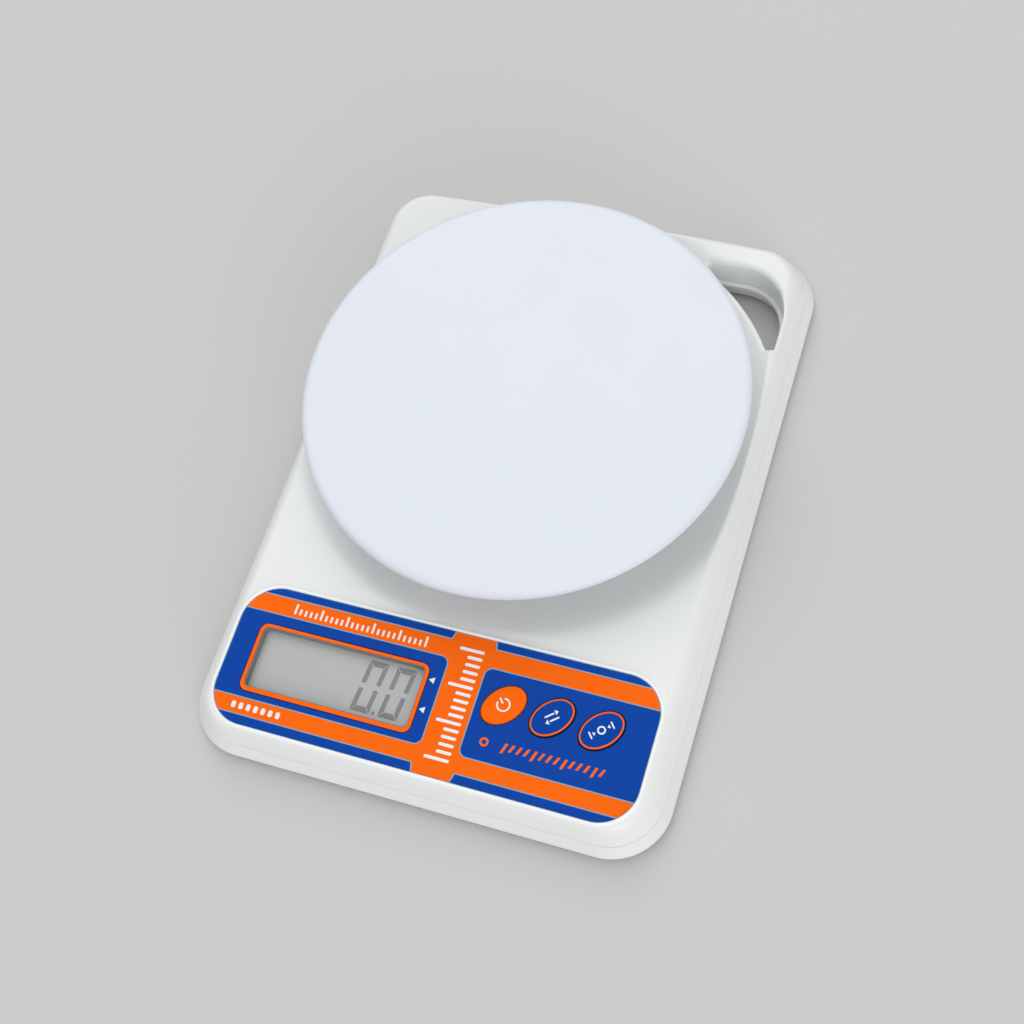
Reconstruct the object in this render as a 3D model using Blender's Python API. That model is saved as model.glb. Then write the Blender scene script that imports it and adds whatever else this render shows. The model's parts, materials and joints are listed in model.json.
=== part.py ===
"""Digital gram scale with a round lift-off pan, as an assembly of separate pieces.

The frame: the origin is on the table under the middle of the body, +X is the
user's right, +Y points away from the user and +Z is up. Metres throughout.
"""
import math

import bmesh
import bpy
from mathutils import Matrix, Vector

MM = 0.001

# Body: a flat box with rounded corners, two shells with a parting line
BODY_WIDTH = 167.0 * MM
BODY_LENGTH = 230.0 * MM
CORNER_RADIUS = 20.0 * MM
REAR_BOW = 1.3 * MM
BASE_BOTTOM = 2.0 * MM
BASE_FLOOR = 3.8 * MM
BASE_EDGE = 9.1 * MM
COVER_EDGE = 9.4 * MM
TONGUE_TOP = 10.6 * MM
REBATE_TOP = 10.9 * MM
DECK_HEIGHT = 19.1 * MM
DECK_SLOPE = 0.017
SHOULDER_START = 2.5 * MM
SHOULDER_END = 9.6 * MM
FRONT_SHOULDER = 0.63
WALL = 2.2 * MM
GAP = 0.3 * MM

# Round dish in the cover, and the turret in its middle that holds the load cell
PAN_CENTRE_Y = 25.2 * MM
DISH_FLOOR = 15.4 * MM
DISH_FLAT_RADIUS = 68.0 * MM
DISH_RIM_RADIUS = 82.0 * MM
DISH_RISE = 2.7 * MM
TURRET_RADIUS = 55.0 * MM
TURRET_TOP = 28.5 * MM

# Hanging opening through the rear right corner
OPENING_ARC = 83.0 * MM
OPENING_REAR = 98.0 * MM
OPENING_SIDE = 76.0 * MM
OPENING_CORNER = 18.0 * MM
OPENING_TIP = 3.5 * MM
OPENING_WALL = 2.0 * MM
LEDGE_WIDTH = 2.0 * MM
LEDGE_THICKNESS = 1.8 * MM

# Console: label, display window and three oval keys, on the tilted deck
CONSOLE_Y = -83.0 * MM
LABEL_WIDTH = 147.2 * MM
LABEL_HEIGHT = 48.9 * MM
LABEL_RADIUS = 13.0 * MM
LABEL_RECESS = 0.8 * MM
LABEL_THICKNESS = 0.3 * MM
LIP_WIDTH = 1.3 * MM
LIP_HEIGHT = 0.45 * MM
WINDOW_CENTRE = (-34.45 * MM, -0.6 * MM)
WINDOW_SIZE = (59.1 * MM, 21.6 * MM)
GLASS_SIZE = (63.5 * MM, 26.0 * MM)
KEY_NAMES = ("power", "unit", "tare")
KEY_FIRST_X = 23.8 * MM
KEY_PITCH = 16.5 * MM
KEY_V = 4.25 * MM
KEY_LONG = 8.0 * MM
KEY_SHORT = 5.6 * MM
KEY_TILT = math.radians(46)
BOARD_TOP = -8.0 * MM
BOARD_THICKNESS = 1.4 * MM
BOARD_SCREWS = ((-62 * MM, 17 * MM), (62 * MM, 17 * MM), (62 * MM, -14 * MM), (6 * MM, -15 * MM))

# Pan
PAN_RADIUS = 77.35 * MM
PAN_TOP = 38.0 * MM
PAN_UNDER = 35.8 * MM
PAN_RIM_BOTTOM = 34.7 * MM

# Load cell, its frame and the four posts that carry the pan
CELL_LENGTH = 80.0 * MM
CELL_SIDE = 12.7 * MM
CELL_BOTTOM = 6.6 * MM
CELL_HOLE_INSETS = (5.0 * MM, 20.0 * MM)
CELL_WEB_HOLE = 4.6 * MM
FRAME_BOTTOM = 21.2 * MM
FRAME_THICKNESS = 1.6 * MM
POST_OFFSET = 28.3 * MM
POST_RADIUS = 4.0 * MM
POST_SHOULDER = 33.3 * MM

# Battery bay for two AA cells, closed from below by a hinged door
BAY_LOW = (9.2 * MM, -4.5 * MM)
BAY_HIGH = (40.0 * MM, 54.5 * MM)
BAY_TOP = 18.6 * MM
BAY_WALL = 1.2 * MM
CELL_RADIUS = 7.1 * MM
BATTERY_X = (16.8 * MM, 32.4 * MM)
BATTERY_Z = 11.3 * MM
DOOR_LOW = (7.2 * MM, -7.5 * MM)
DOOR_HIGH = (42.0 * MM, 57.5 * MM)
DOOR_THICKNESS = 1.3 * MM

# Feet and case screws
FOOT_RADIUS = 6.0 * MM
FEET = {
    "front_left": (-60 * MM, -92 * MM),
    "front_right": (60 * MM, -92 * MM),
    "rear_left": (-56 * MM, 66 * MM),
    "rear_right": (56 * MM, 66 * MM),
}
CASE_SCREWS = {
    "front_left": (-72 * MM, -102 * MM),
    "front_right": (72 * MM, -102 * MM),
    "rear_left": (-70 * MM, 101 * MM),
    "rear_right": (72 * MM, 48 * MM),
}

# Facets round a quarter of a corner, and round a whole circle of each kind
CORNER_STEPS = 5
BOW_STEPS = 4
SHOULDER_STEPS = 5
PAN_SEGMENTS = 60
TURRET_SEGMENTS = 44
ROUND_SEGMENTS = 18
SMALL_SEGMENTS = 12

LIBRARY = {}


# ---------------------------------------------------------------- scene and materials

def clear_scene():
    """Remove every object from the scene."""
    for obj in list(bpy.data.objects):
        bpy.data.objects.remove(obj, do_unlink=True)


def material(name, colour, roughness, metallic=0.0, alpha=1.0):
    """Make one Principled material and keep it under its name."""
    mat = bpy.data.materials.new(name)
    mat.use_nodes = True
    shader = mat.node_tree.nodes["Principled BSDF"]
    shader.inputs["Base Color"].default_value = (*colour, 1.0)
    shader.inputs["Roughness"].default_value = roughness
    shader.inputs["Metallic"].default_value = metallic
    shader.inputs["Alpha"].default_value = alpha
    mat.diffuse_color = (*colour, 1.0)
    LIBRARY[name] = mat


def make_materials():
    """Make the finishes of all the pieces."""
    material("shell_white", (0.80, 0.81, 0.79), 0.35)
    material("pan_white", (0.82, 0.85, 0.90), 0.30)
    material("foot_rubber", (0.05, 0.05, 0.055), 0.85)
    material("screw_steel", (0.62, 0.62, 0.64), 0.35, 1.0)
    material("cell_aluminium", (0.76, 0.77, 0.79), 0.38, 1.0)
    material("frame_steel", (0.60, 0.61, 0.63), 0.40, 1.0)
    material("board_green", (0.02, 0.22, 0.08), 0.45)
    material("resin_black", (0.015, 0.015, 0.015), 0.30)
    material("display_grey", (0.45, 0.46, 0.42), 0.25)
    material("window_clear", (0.90, 0.92, 0.92), 0.05, 0.0, 0.25)
    material("label_blue", (0.0, 0.06, 0.33), 0.35)
    material("key_blue", (0.0, 0.06, 0.33), 0.35)
    material("key_orange", (1.0, 0.16, 0.0), 0.35)
    material("battery_wrap", (0.05, 0.22, 0.12), 0.30)
    material("contact_nickel", (0.75, 0.72, 0.66), 0.25, 1.0)
    material("wire_red", (0.55, 0.02, 0.02), 0.45)
    material("wire_black", (0.02, 0.02, 0.02), 0.45)
    material("silicone_white", (0.75, 0.75, 0.72), 0.60)
    material("rubber_grey", (0.20, 0.20, 0.21), 0.80)


# ---------------------------------------------------------------- objects

def add_object(name, mesh, parent=None, location=(0, 0, 0)):
    """Link a mesh into the scene under a name."""
    obj = bpy.data.objects.new(name, mesh)
    bpy.context.collection.objects.link(obj)
    obj.parent = parent
    obj.location = location
    return obj


def mesh_from(bm, name):
    """Turn a bmesh into a smooth-shaded mesh with its normals facing out."""
    bmesh.ops.recalc_face_normals(bm, faces=bm.faces)
    mesh = bpy.data.meshes.new(name)
    bm.to_mesh(mesh)
    bm.free()
    mesh.shade_smooth()
    mesh.set_sharp_from_angle(angle=math.radians(32))
    return mesh


def piece(name, bm, finish, parent=None, location=(0, 0, 0)):
    """Make a visible piece of the scale from a bmesh."""
    mesh = mesh_from(bm, name)
    mesh.materials.append(LIBRARY[finish])
    return add_object(name, mesh, parent, location)


def tool(name, bm, parent=None, location=(0, 0, 0)):
    """Make a hidden cutter or added lump that only feeds a Boolean."""
    obj = add_object(name, mesh_from(bm, name), parent, location)
    obj.hide_render = True
    obj.display_type = "WIRE"
    return obj


def boolean(target, operand, operation="DIFFERENCE"):
    """Add one exact Boolean to a piece."""
    mod = target.modifiers.new(operand.name, "BOOLEAN")
    mod.operation = operation
    mod.solver = "EXACT"
    mod.object = operand


def empty(name, location, rotation=(0, 0, 0)):
    """Make an empty that carries a group of pieces or marks a joint."""
    obj = bpy.data.objects.new(name, None)
    bpy.context.collection.objects.link(obj)
    obj.location = location
    obj.rotation_euler = rotation
    return obj


# ---------------------------------------------------------------- mesh building blocks

def loft(rings):
    """Join rings of equal length into one closed solid with flat ends."""
    bm = bmesh.new()
    loops = [[bm.verts.new(point) for point in ring] for ring in rings]
    count = len(loops[0])
    for lower, upper in zip(loops, loops[1:]):
        for i in range(count):
            j = (i + 1) % count
            bm.faces.new((lower[i], lower[j], upper[j], upper[i]))
    bm.faces.new(list(reversed(loops[0])))
    bm.faces.new(loops[-1])
    return bm


def prism(outline, low, high):
    """Extrude a flat outline of (x, y) points from one height to another."""
    return loft([[(x, y, z) for x, y in outline] for z in (low, high)])


def turned(profile, segments, phase=0.0):
    """Turn a profile of (radius, z) points about Z. It starts and ends on the axis."""
    bm = bmesh.new()
    verts = [bm.verts.new((r * math.cos(phase), r * math.sin(phase), z)) for r, z in profile]
    edges = [bm.edges.new(pair) for pair in zip(verts, verts[1:])]
    bmesh.ops.spin(bm, geom=verts + edges, cent=(0, 0, 0), axis=(0, 0, 1),
                   angle=2 * math.pi, steps=segments)
    bmesh.ops.remove_doubles(bm, verts=bm.verts, dist=0.00001)
    return bm


def turned_ring(profile, segments):
    """Turn a closed profile of (radius, z) points, clear of the axis, into a ring."""
    bm = bmesh.new()
    verts = [bm.verts.new((r, 0, z)) for r, z in profile]
    edges = [bm.edges.new(pair) for pair in zip(verts, verts[1:] + verts[:1])]
    bmesh.ops.spin(bm, geom=verts + edges, cent=(0, 0, 0), axis=(0, 0, 1),
                   angle=2 * math.pi, steps=segments)
    bmesh.ops.remove_doubles(bm, verts=bm.verts, dist=0.00001)
    return bm


def rod(radius, low, high, segments=ROUND_SEGMENTS, phase=0.0):
    """A plain upright cylinder about Z between two heights."""
    return turned([(0, low), (radius, low), (radius, high), (0, high)], segments, phase)


def box(low, high):
    """A box between two corners."""
    outline = [(low[0], low[1]), (high[0], low[1]), (high[0], high[1]), (low[0], high[1])]
    return prism(outline, low[2], high[2])


def arc(cx, cy, radius, start, end, steps):
    """Points along an arc, both ends included, with its angles in radians."""
    points = []
    for i in range(steps + 1):
        angle = start + (end - start) * i / steps
        points.append((cx + radius * math.cos(angle), cy + radius * math.sin(angle)))
    return points


def rounded_rectangle(width, height, radius, centre=(0, 0), steps=CORNER_STEPS):
    """Outline of a rectangle with round corners."""
    points = []
    for i, (sx, sy) in enumerate(((1, 1), (-1, 1), (-1, -1), (1, -1))):
        cx = centre[0] + sx * (width / 2 - radius)
        cy = centre[1] + sy * (height / 2 - radius)
        points += arc(cx, cy, radius, i * math.pi / 2, (i + 1) * math.pi / 2, steps)
    return points


def ellipse(long, short, tilt, centre=(0, 0), segments=24):
    """Outline of a tilted ellipse."""
    points = []
    for i in range(segments):
        a = 2 * math.pi * i / segments
        u, v = long * math.cos(a), short * math.sin(a)
        x = centre[0] + u * math.cos(tilt) - v * math.sin(tilt)
        y = centre[1] + u * math.sin(tilt) + v * math.cos(tilt)
        points.append((x, y))
    return points


# ---------------------------------------------------------------- body outline and heights

def deck_height(y):
    """Height of the sloping deck at a distance from the middle of the body."""
    return DECK_HEIGHT + DECK_SLOPE * y


def body_outline(inset):
    """Plan outline of the body, moved inwards but less so at the front. The rear bows out."""
    half_x = BODY_WIDTH / 2 - inset
    radius = CORNER_RADIUS - inset
    front_inset = inset - max(inset - SHOULDER_START, 0) * (1 - FRONT_SHOULDER)
    half_y = {1: BODY_LENGTH / 2 - inset, -1: BODY_LENGTH / 2 - front_inset}
    points = []
    for i, (sx, sy) in enumerate(((1, 1), (-1, 1), (-1, -1), (1, -1))):
        cx, cy = sx * (half_x - radius), sy * (half_y[sy] - radius)
        points += arc(cx, cy, radius, i * math.pi / 2, (i + 1) * math.pi / 2, CORNER_STEPS)
        if i == 0:
            span = 2 * (half_x - radius)
            points += [(cx - span * k / BOW_STEPS, half_y[1]) for k in range(1, BOW_STEPS)]
    bowed = []
    for x, y in points:
        lift = REAR_BOW * (x / half_x) ** 2 if y > 0 else 0.0
        bowed.append((x, y - lift))
    return bowed


def tilted_ring(inset, z, start, flat_top, top_drop):
    """Ring of the cover at a nominal height, stretched so that its top meets the deck."""
    ring = []
    for x, y in body_outline(inset):
        reach = (deck_height(y) - top_drop - start) / (flat_top - start)
        ring.append((x, y, start + (z - start) * reach))
    return ring


def shoulder_curve(low, bend, high):
    """Inset and height pairs along the curve that rounds the wall over into the deck."""
    pairs = []
    for i in range(SHOULDER_STEPS + 1):
        t = i / SHOULDER_STEPS
        a, b, c = (1 - t) ** 2, 2 * t * (1 - t), t * t
        pairs.append((a * low[0] + b * bend[0] + c * high[0], a * low[1] + b * bend[1] + c * high[1]))
    return pairs


def opening_outline(grow):
    """Outline of the hanging opening: an arc about the pan, two straight sides and round corners."""
    radius = OPENING_ARC - grow
    side = OPENING_SIDE + grow
    rear = OPENING_REAR + grow
    corner = OPENING_CORNER + grow
    tip = OPENING_TIP + grow
    right = (side - tip, math.sqrt((radius + tip) ** 2 - (side - tip) ** 2))
    left = (math.sqrt((radius + tip) ** 2 - (rear - tip - PAN_CENTRE_Y) ** 2), rear - tip - PAN_CENTRE_Y)
    right_angle = math.atan2(right[1], right[0])
    left_angle = math.atan2(left[1], left[0])
    points = arc(right[0], PAN_CENTRE_Y + right[1], tip, right_angle - math.pi, 0, 5)
    points += arc(side - corner, rear - corner, corner, 0, math.pi / 2, CORNER_STEPS)
    points += arc(left[0], PAN_CENTRE_Y + left[1], tip, math.pi / 2, left_angle + math.pi, 5)
    return points + arc(0, PAN_CENTRE_Y, radius, left_angle, right_angle, 7)[1:-1]


def dish_height(radius, drop=0.0):
    """Height of the dish at a distance from the pan's axis."""
    if radius <= DISH_FLAT_RADIUS:
        return DISH_FLOOR - drop
    reach = (radius - DISH_FLAT_RADIUS) / (DISH_RIM_RADIUS - DISH_FLAT_RADIUS)
    return DISH_FLOOR - drop + DISH_RISE * reach ** 2


def dish_cutter(inner_radius, drop):
    """Ring that scoops the dish out around the turret."""
    top = 45 * MM
    outer = 100 * MM
    steps = 6
    profile = [(inner_radius, DISH_FLOOR - drop), (DISH_FLAT_RADIUS, DISH_FLOOR - drop)]
    for i in range(1, steps + 1):
        r = DISH_FLAT_RADIUS + (outer - DISH_FLAT_RADIUS) * i / steps
        profile.append((r, dish_height(r, drop)))
    profile += [(outer, top), (inner_radius, top)]
    return turned_ring(profile, PAN_SEGMENTS)


# ---------------------------------------------------------------- cover

def cover_cavity(console):
    """The hollow of the cover, with its bosses and the wall of the opening left standing."""
    ceiling = DECK_HEIGHT - WALL
    low = (SHOULDER_START + WALL, REBATE_TOP)
    high = (SHOULDER_END + WALL, ceiling)
    bend = (SHOULDER_START + WALL + 4.4 * MM, ceiling)
    rebate = SHOULDER_START + 1.1 * MM
    below = COVER_EDGE - 2 * MM
    rings = [[(x, y, z) for x, y in body_outline(rebate)] for z in (below, REBATE_TOP)]
    for inset, z in shoulder_curve(low, bend, high):
        rings.append(tilted_ring(inset, z, REBATE_TOP, ceiling, WALL))
    hollow = tool("cut_cover_cavity", loft(rings))

    pan_axis = (0, PAN_CENTRE_Y, 0)
    roof = tool("cut_cavity_roof", dish_cutter(TURRET_RADIUS - 3 * MM, WALL), location=pan_axis)
    boolean(hollow, roof)
    inside = TURRET_RADIUS - WALL
    room = [(0, 12 * MM), (inside, 12 * MM), (inside, TURRET_TOP - WALL - 2 * MM),
            (inside - 2 * MM, TURRET_TOP - WALL), (0, TURRET_TOP - WALL)]
    turret_room = tool("add_turret_room", turned(room, TURRET_SEGMENTS, 0.03), location=pan_axis)
    boolean(hollow, turret_room, "UNION")

    wall = tool("cut_opening_wall", prism(opening_outline(OPENING_WALL), 0, 40 * MM))
    boolean(hollow, wall)
    for name, (x, y) in CASE_SCREWS.items():
        boss = tool(f"cut_case_boss_{name}", rod(3.6 * MM, 9.1 * MM, 40 * MM), location=(x, y, 0))
        boolean(hollow, boss)
    for i, (u, v) in enumerate(BOARD_SCREWS):
        low_end = BOARD_TOP + GAP
        boss = tool(f"cut_board_boss_{i + 1}", rod(2.4 * MM, low_end, 20 * MM, SMALL_SEGMENTS),
                    console, (u, v, 0))
        boolean(hollow, boss)
    return hollow


def add_label_lip(cover, console):
    """Raise a rounded lip round the place of the label."""
    rings = []
    for grow, n in ((LIP_WIDTH + 1.6 * MM, -4.0 * MM), (LIP_WIDTH + 0.6 * MM, -0.2 * MM),
                    (LIP_WIDTH + 0.3 * MM, 0.25 * MM), (LIP_WIDTH - 0.25 * MM, LIP_HEIGHT)):
        outline = rounded_rectangle(LABEL_WIDTH + 2 * grow, LABEL_HEIGHT + 2 * grow,
                                    LABEL_RADIUS + grow)
        rings.append([(x, y, n) for x, y in outline])
    boolean(cover, tool("add_label_lip", loft(rings), console), "UNION")


def cut_console(cover, console):
    """Sink the label, the window and the key wells."""
    recess = rounded_rectangle(LABEL_WIDTH + 2 * GAP, LABEL_HEIGHT + 2 * GAP, LABEL_RADIUS + GAP)
    boolean(cover, tool("cut_label_recess", prism(recess, -LABEL_RECESS, 5 * MM), console))
    window = rounded_rectangle(*WINDOW_SIZE, 1.5 * MM, WINDOW_CENTRE, 3)
    boolean(cover, tool("cut_window", prism(window, -4 * MM, 2 * MM), console))
    for i, name in enumerate(KEY_NAMES):
        centre = (KEY_FIRST_X + i * KEY_PITCH, KEY_V)
        well = ellipse(KEY_LONG + 0.45 * MM, KEY_SHORT + 0.45 * MM, KEY_TILT, centre)
        boolean(cover, tool(f"cut_key_well_{name}", prism(well, -4 * MM, 2 * MM), console))
    for i, (u, v) in enumerate(BOARD_SCREWS):
        pilot = rod(1.25 * MM, BOARD_TOP - 2 * MM, -3.2 * MM, SMALL_SEGMENTS)
        boolean(cover, tool(f"cut_board_pilot_{i + 1}", pilot, console, (u, v, 0)))


def make_cover(console):
    """The upper shell: shoulders, deck, dish, turret, console and hanging opening."""
    bend_inset = SHOULDER_START + 0.467 * (DECK_HEIGHT - COVER_EDGE)
    curve = shoulder_curve((SHOULDER_START, COVER_EDGE), (bend_inset, DECK_HEIGHT),
                           (SHOULDER_END, DECK_HEIGHT))
    rings = [tilted_ring(inset, z, COVER_EDGE, DECK_HEIGHT, 0.0) for inset, z in curve]
    cover = piece("top_shell", loft(rings), "shell_white")

    pan_axis = (0, PAN_CENTRE_Y, 0)
    boolean(cover, tool("cut_dish", dish_cutter(TURRET_RADIUS - 1 * MM, 0.0), location=pan_axis))
    edge = 2.5 * MM
    turret = [(0, 12 * MM), (TURRET_RADIUS, 12 * MM), (TURRET_RADIUS, TURRET_TOP - edge)]
    turret += [(TURRET_RADIUS - edge + edge * math.cos(a), TURRET_TOP - edge + edge * math.sin(a))
               for a in (math.pi / 6, math.pi / 3, math.pi / 2)]
    turret.append((0, TURRET_TOP))
    hub = turned(turret, TURRET_SEGMENTS, 0.02)
    boolean(cover, tool("add_turret", hub, location=pan_axis), "UNION")
    add_label_lip(cover, console)
    boolean(cover, cover_cavity(console))
    boolean(cover, tool("cut_opening", prism(opening_outline(0), 0, 40 * MM)))
    for name, (x, y) in CASE_SCREWS.items():
        pilot = rod(1.4 * MM, 5 * MM, 13.6 * MM, SMALL_SEGMENTS)
        boolean(cover, tool(f"cut_case_pilot_{name}", pilot, location=(x, y, 0)))
    for i, (x, y) in enumerate(post_places()):
        hole = rod(POST_RADIUS + 1.2 * MM, 22 * MM, 32 * MM, phase=0.11)
        boolean(cover, tool(f"cut_post_hole_{i + 1}", hole, location=(x, y, 0)))
    cut_console(cover, console)


# ---------------------------------------------------------------- base

def make_base():
    """The lower shell: floor, walls, screw bosses, battery bay and hanging opening."""
    sides = ((1.6, 2.0), (0.75, 2.4), (0.15, 3.1), (0.0, 4.0), (2.4, 9.1), (3.95, 9.1), (3.95, 10.6))
    rings = []
    for inset, z in sides:
        rings.append([(x, y, z * MM) for x, y in body_outline(inset * MM)])
    base = piece("base_shell", loft(rings), "shell_white")

    hollow = tool("cut_base_cavity", prism(body_outline(4.8 * MM), BASE_FLOOR, 15 * MM))
    wall = tool("cut_base_opening_wall", prism(opening_outline(OPENING_WALL), 0, BASE_EDGE))
    boolean(hollow, wall)
    for name, (x, y) in CASE_SCREWS.items():
        boss = tool(f"cut_base_boss_{name}", rod(5 * MM, 0, 8.8 * MM), location=(x, y, 0))
        boolean(hollow, boss)
    cell_end = PAN_CENTRE_Y + CELL_LENGTH / 2
    pad = box((-7 * MM, cell_end - 26 * MM, 0), (7 * MM, cell_end + 1 * MM, CELL_BOTTOM - GAP))
    boolean(hollow, tool("cut_cell_pad", pad))
    margin = 1.6 * MM
    frame = box((DOOR_LOW[0] - margin, DOOR_LOW[1] - margin, 0),
                (DOOR_HIGH[0] + margin, DOOR_HIGH[1] + margin, 5.3 * MM))
    boolean(hollow, tool("cut_door_frame", frame))
    boolean(base, hollow)

    clear_tongue = prism(opening_outline(OPENING_WALL + 0.4 * MM), BASE_EDGE, 15 * MM)
    boolean(base, tool("cut_tongue_at_opening", clear_tongue))
    boolean(base, tool("cut_base_opening", prism(opening_outline(-LEDGE_WIDTH), 0, 15 * MM)))
    under_ledge = prism(opening_outline(0), 0, BASE_EDGE - LEDGE_THICKNESS)
    boolean(base, tool("cut_under_ledge", under_ledge))

    walls = box((BAY_LOW[0] - BAY_WALL, BAY_LOW[1] - BAY_WALL, 3 * MM),
                (BAY_HIGH[0] + BAY_WALL, BAY_HIGH[1] + BAY_WALL, BAY_TOP + BAY_WALL))
    boolean(base, tool("add_bay_walls", walls), "UNION")
    boolean(base, tool("cut_bay", box((*BAY_LOW, 0), (*BAY_HIGH, BAY_TOP))))
    rebate = box((DOOR_LOW[0] - GAP, DOOR_LOW[1] - GAP, 0),
                 (DOOR_HIGH[0] + GAP, DOOR_HIGH[1] + GAP, BASE_BOTTOM + DOOR_THICKNESS + GAP))
    boolean(base, tool("cut_door_rebate", rebate))
    cut_base_holes(base)


def cut_base_holes(base):
    """Screw recesses, foot pockets and the blank rating panel under the base."""
    for name, (x, y) in CASE_SCREWS.items():
        recess = turned([(0, 0), (3.4 * MM, 0), (3.4 * MM, 7.2 * MM), (1.5 * MM, 7.2 * MM),
                         (1.5 * MM, 12 * MM), (0, 12 * MM)], ROUND_SEGMENTS)
        boolean(base, tool(f"cut_screw_recess_{name}", recess, location=(x, y, 0)))
    for name, (x, y) in FEET.items():
        pocket = rod(FOOT_RADIUS + 0.4 * MM, 0, BASE_BOTTOM + 0.9 * MM)
        boolean(base, tool(f"cut_foot_pocket_{name}", pocket, location=(x, y, 0)))
    for i, y in enumerate(cell_hole_places(1)):
        recess = turned([(0, 0), (4.0 * MM, 0), (4.0 * MM, 3.9 * MM), (2.2 * MM, 3.9 * MM),
                         (2.2 * MM, 9 * MM), (0, 9 * MM)], ROUND_SEGMENTS)
        boolean(base, tool(f"cut_cell_screw_recess_{i + 1}", recess, location=(0, y, 0)))
    panel = rounded_rectangle(52 * MM, 34 * MM, 3 * MM, (-38 * MM, -40 * MM), 4)
    boolean(base, tool("cut_rating_panel", prism(panel, 0, BASE_BOTTOM + 0.3 * MM)))


def make_feet():
    """Four round rubber feet in their pockets."""
    top = BASE_BOTTOM + 0.6 * MM
    profile = [(0, 0), (FOOT_RADIUS - 1.0 * MM, 0), (FOOT_RADIUS - 0.3 * MM, 0.4 * MM),
               (FOOT_RADIUS, 1.2 * MM), (FOOT_RADIUS, top), (0, top)]
    for name, (x, y) in FEET.items():
        piece(f"foot_{name}", turned(profile, ROUND_SEGMENTS), "foot_rubber", location=(x, y, 0))


def screw_profile(head_radius, head_height, shank_radius, length):
    """Profile of a pan-head screw. The seat of its head is at height 0, its head below."""
    return [(0, -head_height), (head_radius * 0.75, -head_height),
            (head_radius, -head_height * 0.45), (head_radius, 0), (shank_radius, 0),
            (shank_radius, length - 1 * MM), (shank_radius * 0.5, length), (0, length)]


def make_case_screws():
    """Four self-tapping screws from below that close the case."""
    for name, (x, y) in CASE_SCREWS.items():
        profile = screw_profile(2.8 * MM, 1.9 * MM, 1.1 * MM, 6.3 * MM)
        piece(f"case_screw_{name}", turned(profile, SMALL_SEGMENTS), "screw_steel",
              location=(x, y, 6.9 * MM))


# ---------------------------------------------------------------- weighing mechanism

def post_places():
    """The four (x, y) places of the posts that carry the pan."""
    return [(sx * POST_OFFSET, PAN_CENTRE_Y + sy * POST_OFFSET)
            for sx, sy in ((1, 1), (-1, 1), (-1, -1), (1, -1))]


def cell_hole_places(end):
    """The two y places of the holes at one end of the load cell, +1 rear or -1 front."""
    return [PAN_CENTRE_Y + end * (CELL_LENGTH / 2 - inset) for inset in CELL_HOLE_INSETS]


def make_load_cell():
    """Aluminium bar with two web holes, four screw holes and its sealed strain gauges."""
    half = CELL_LENGTH / 2
    side = CELL_SIDE / 2
    bar = piece("load_cell", box((-side, -half, -side), (side, half, side)), "cell_aluminium",
                location=(0, PAN_CENTRE_Y, CELL_BOTTOM + side))
    for i, y in enumerate((-6 * MM, 6 * MM)):
        bm = rod(CELL_WEB_HOLE, -10 * MM, 10 * MM)
        bmesh.ops.rotate(bm, verts=bm.verts, matrix=Matrix.Rotation(math.pi / 2, 3, "Y"))
        boolean(bar, tool(f"cut_web_hole_{i + 1}", bm, bar, (0, y, 0)))
    for i, y in enumerate(cell_hole_places(1) + cell_hole_places(-1)):
        hole = rod(2.2 * MM, -10 * MM, 10 * MM, SMALL_SEGMENTS)
        boolean(bar, tool(f"cut_cell_hole_{i + 1}", hole, bar, (0, y - PAN_CENTRE_Y, 0)))
    for name, low in (("top", CELL_BOTTOM + CELL_SIDE + GAP), ("bottom", CELL_BOTTOM - 1.1 * MM)):
        outline = rounded_rectangle(10 * MM, 24 * MM, 2 * MM, (0, PAN_CENTRE_Y), 3)
        piece(f"gauge_cover_{name}", prism(outline, low, low + 0.8 * MM), "silicone_white")
    profile = screw_profile(3.6 * MM, 1.6 * MM, 1.9 * MM, 12 * MM)
    for i, y in enumerate(cell_hole_places(1)):
        piece(f"cell_screw_base_{i + 1}", turned(profile, SMALL_SEGMENTS), "screw_steel",
              location=(0, y, 3.6 * MM))


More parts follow.
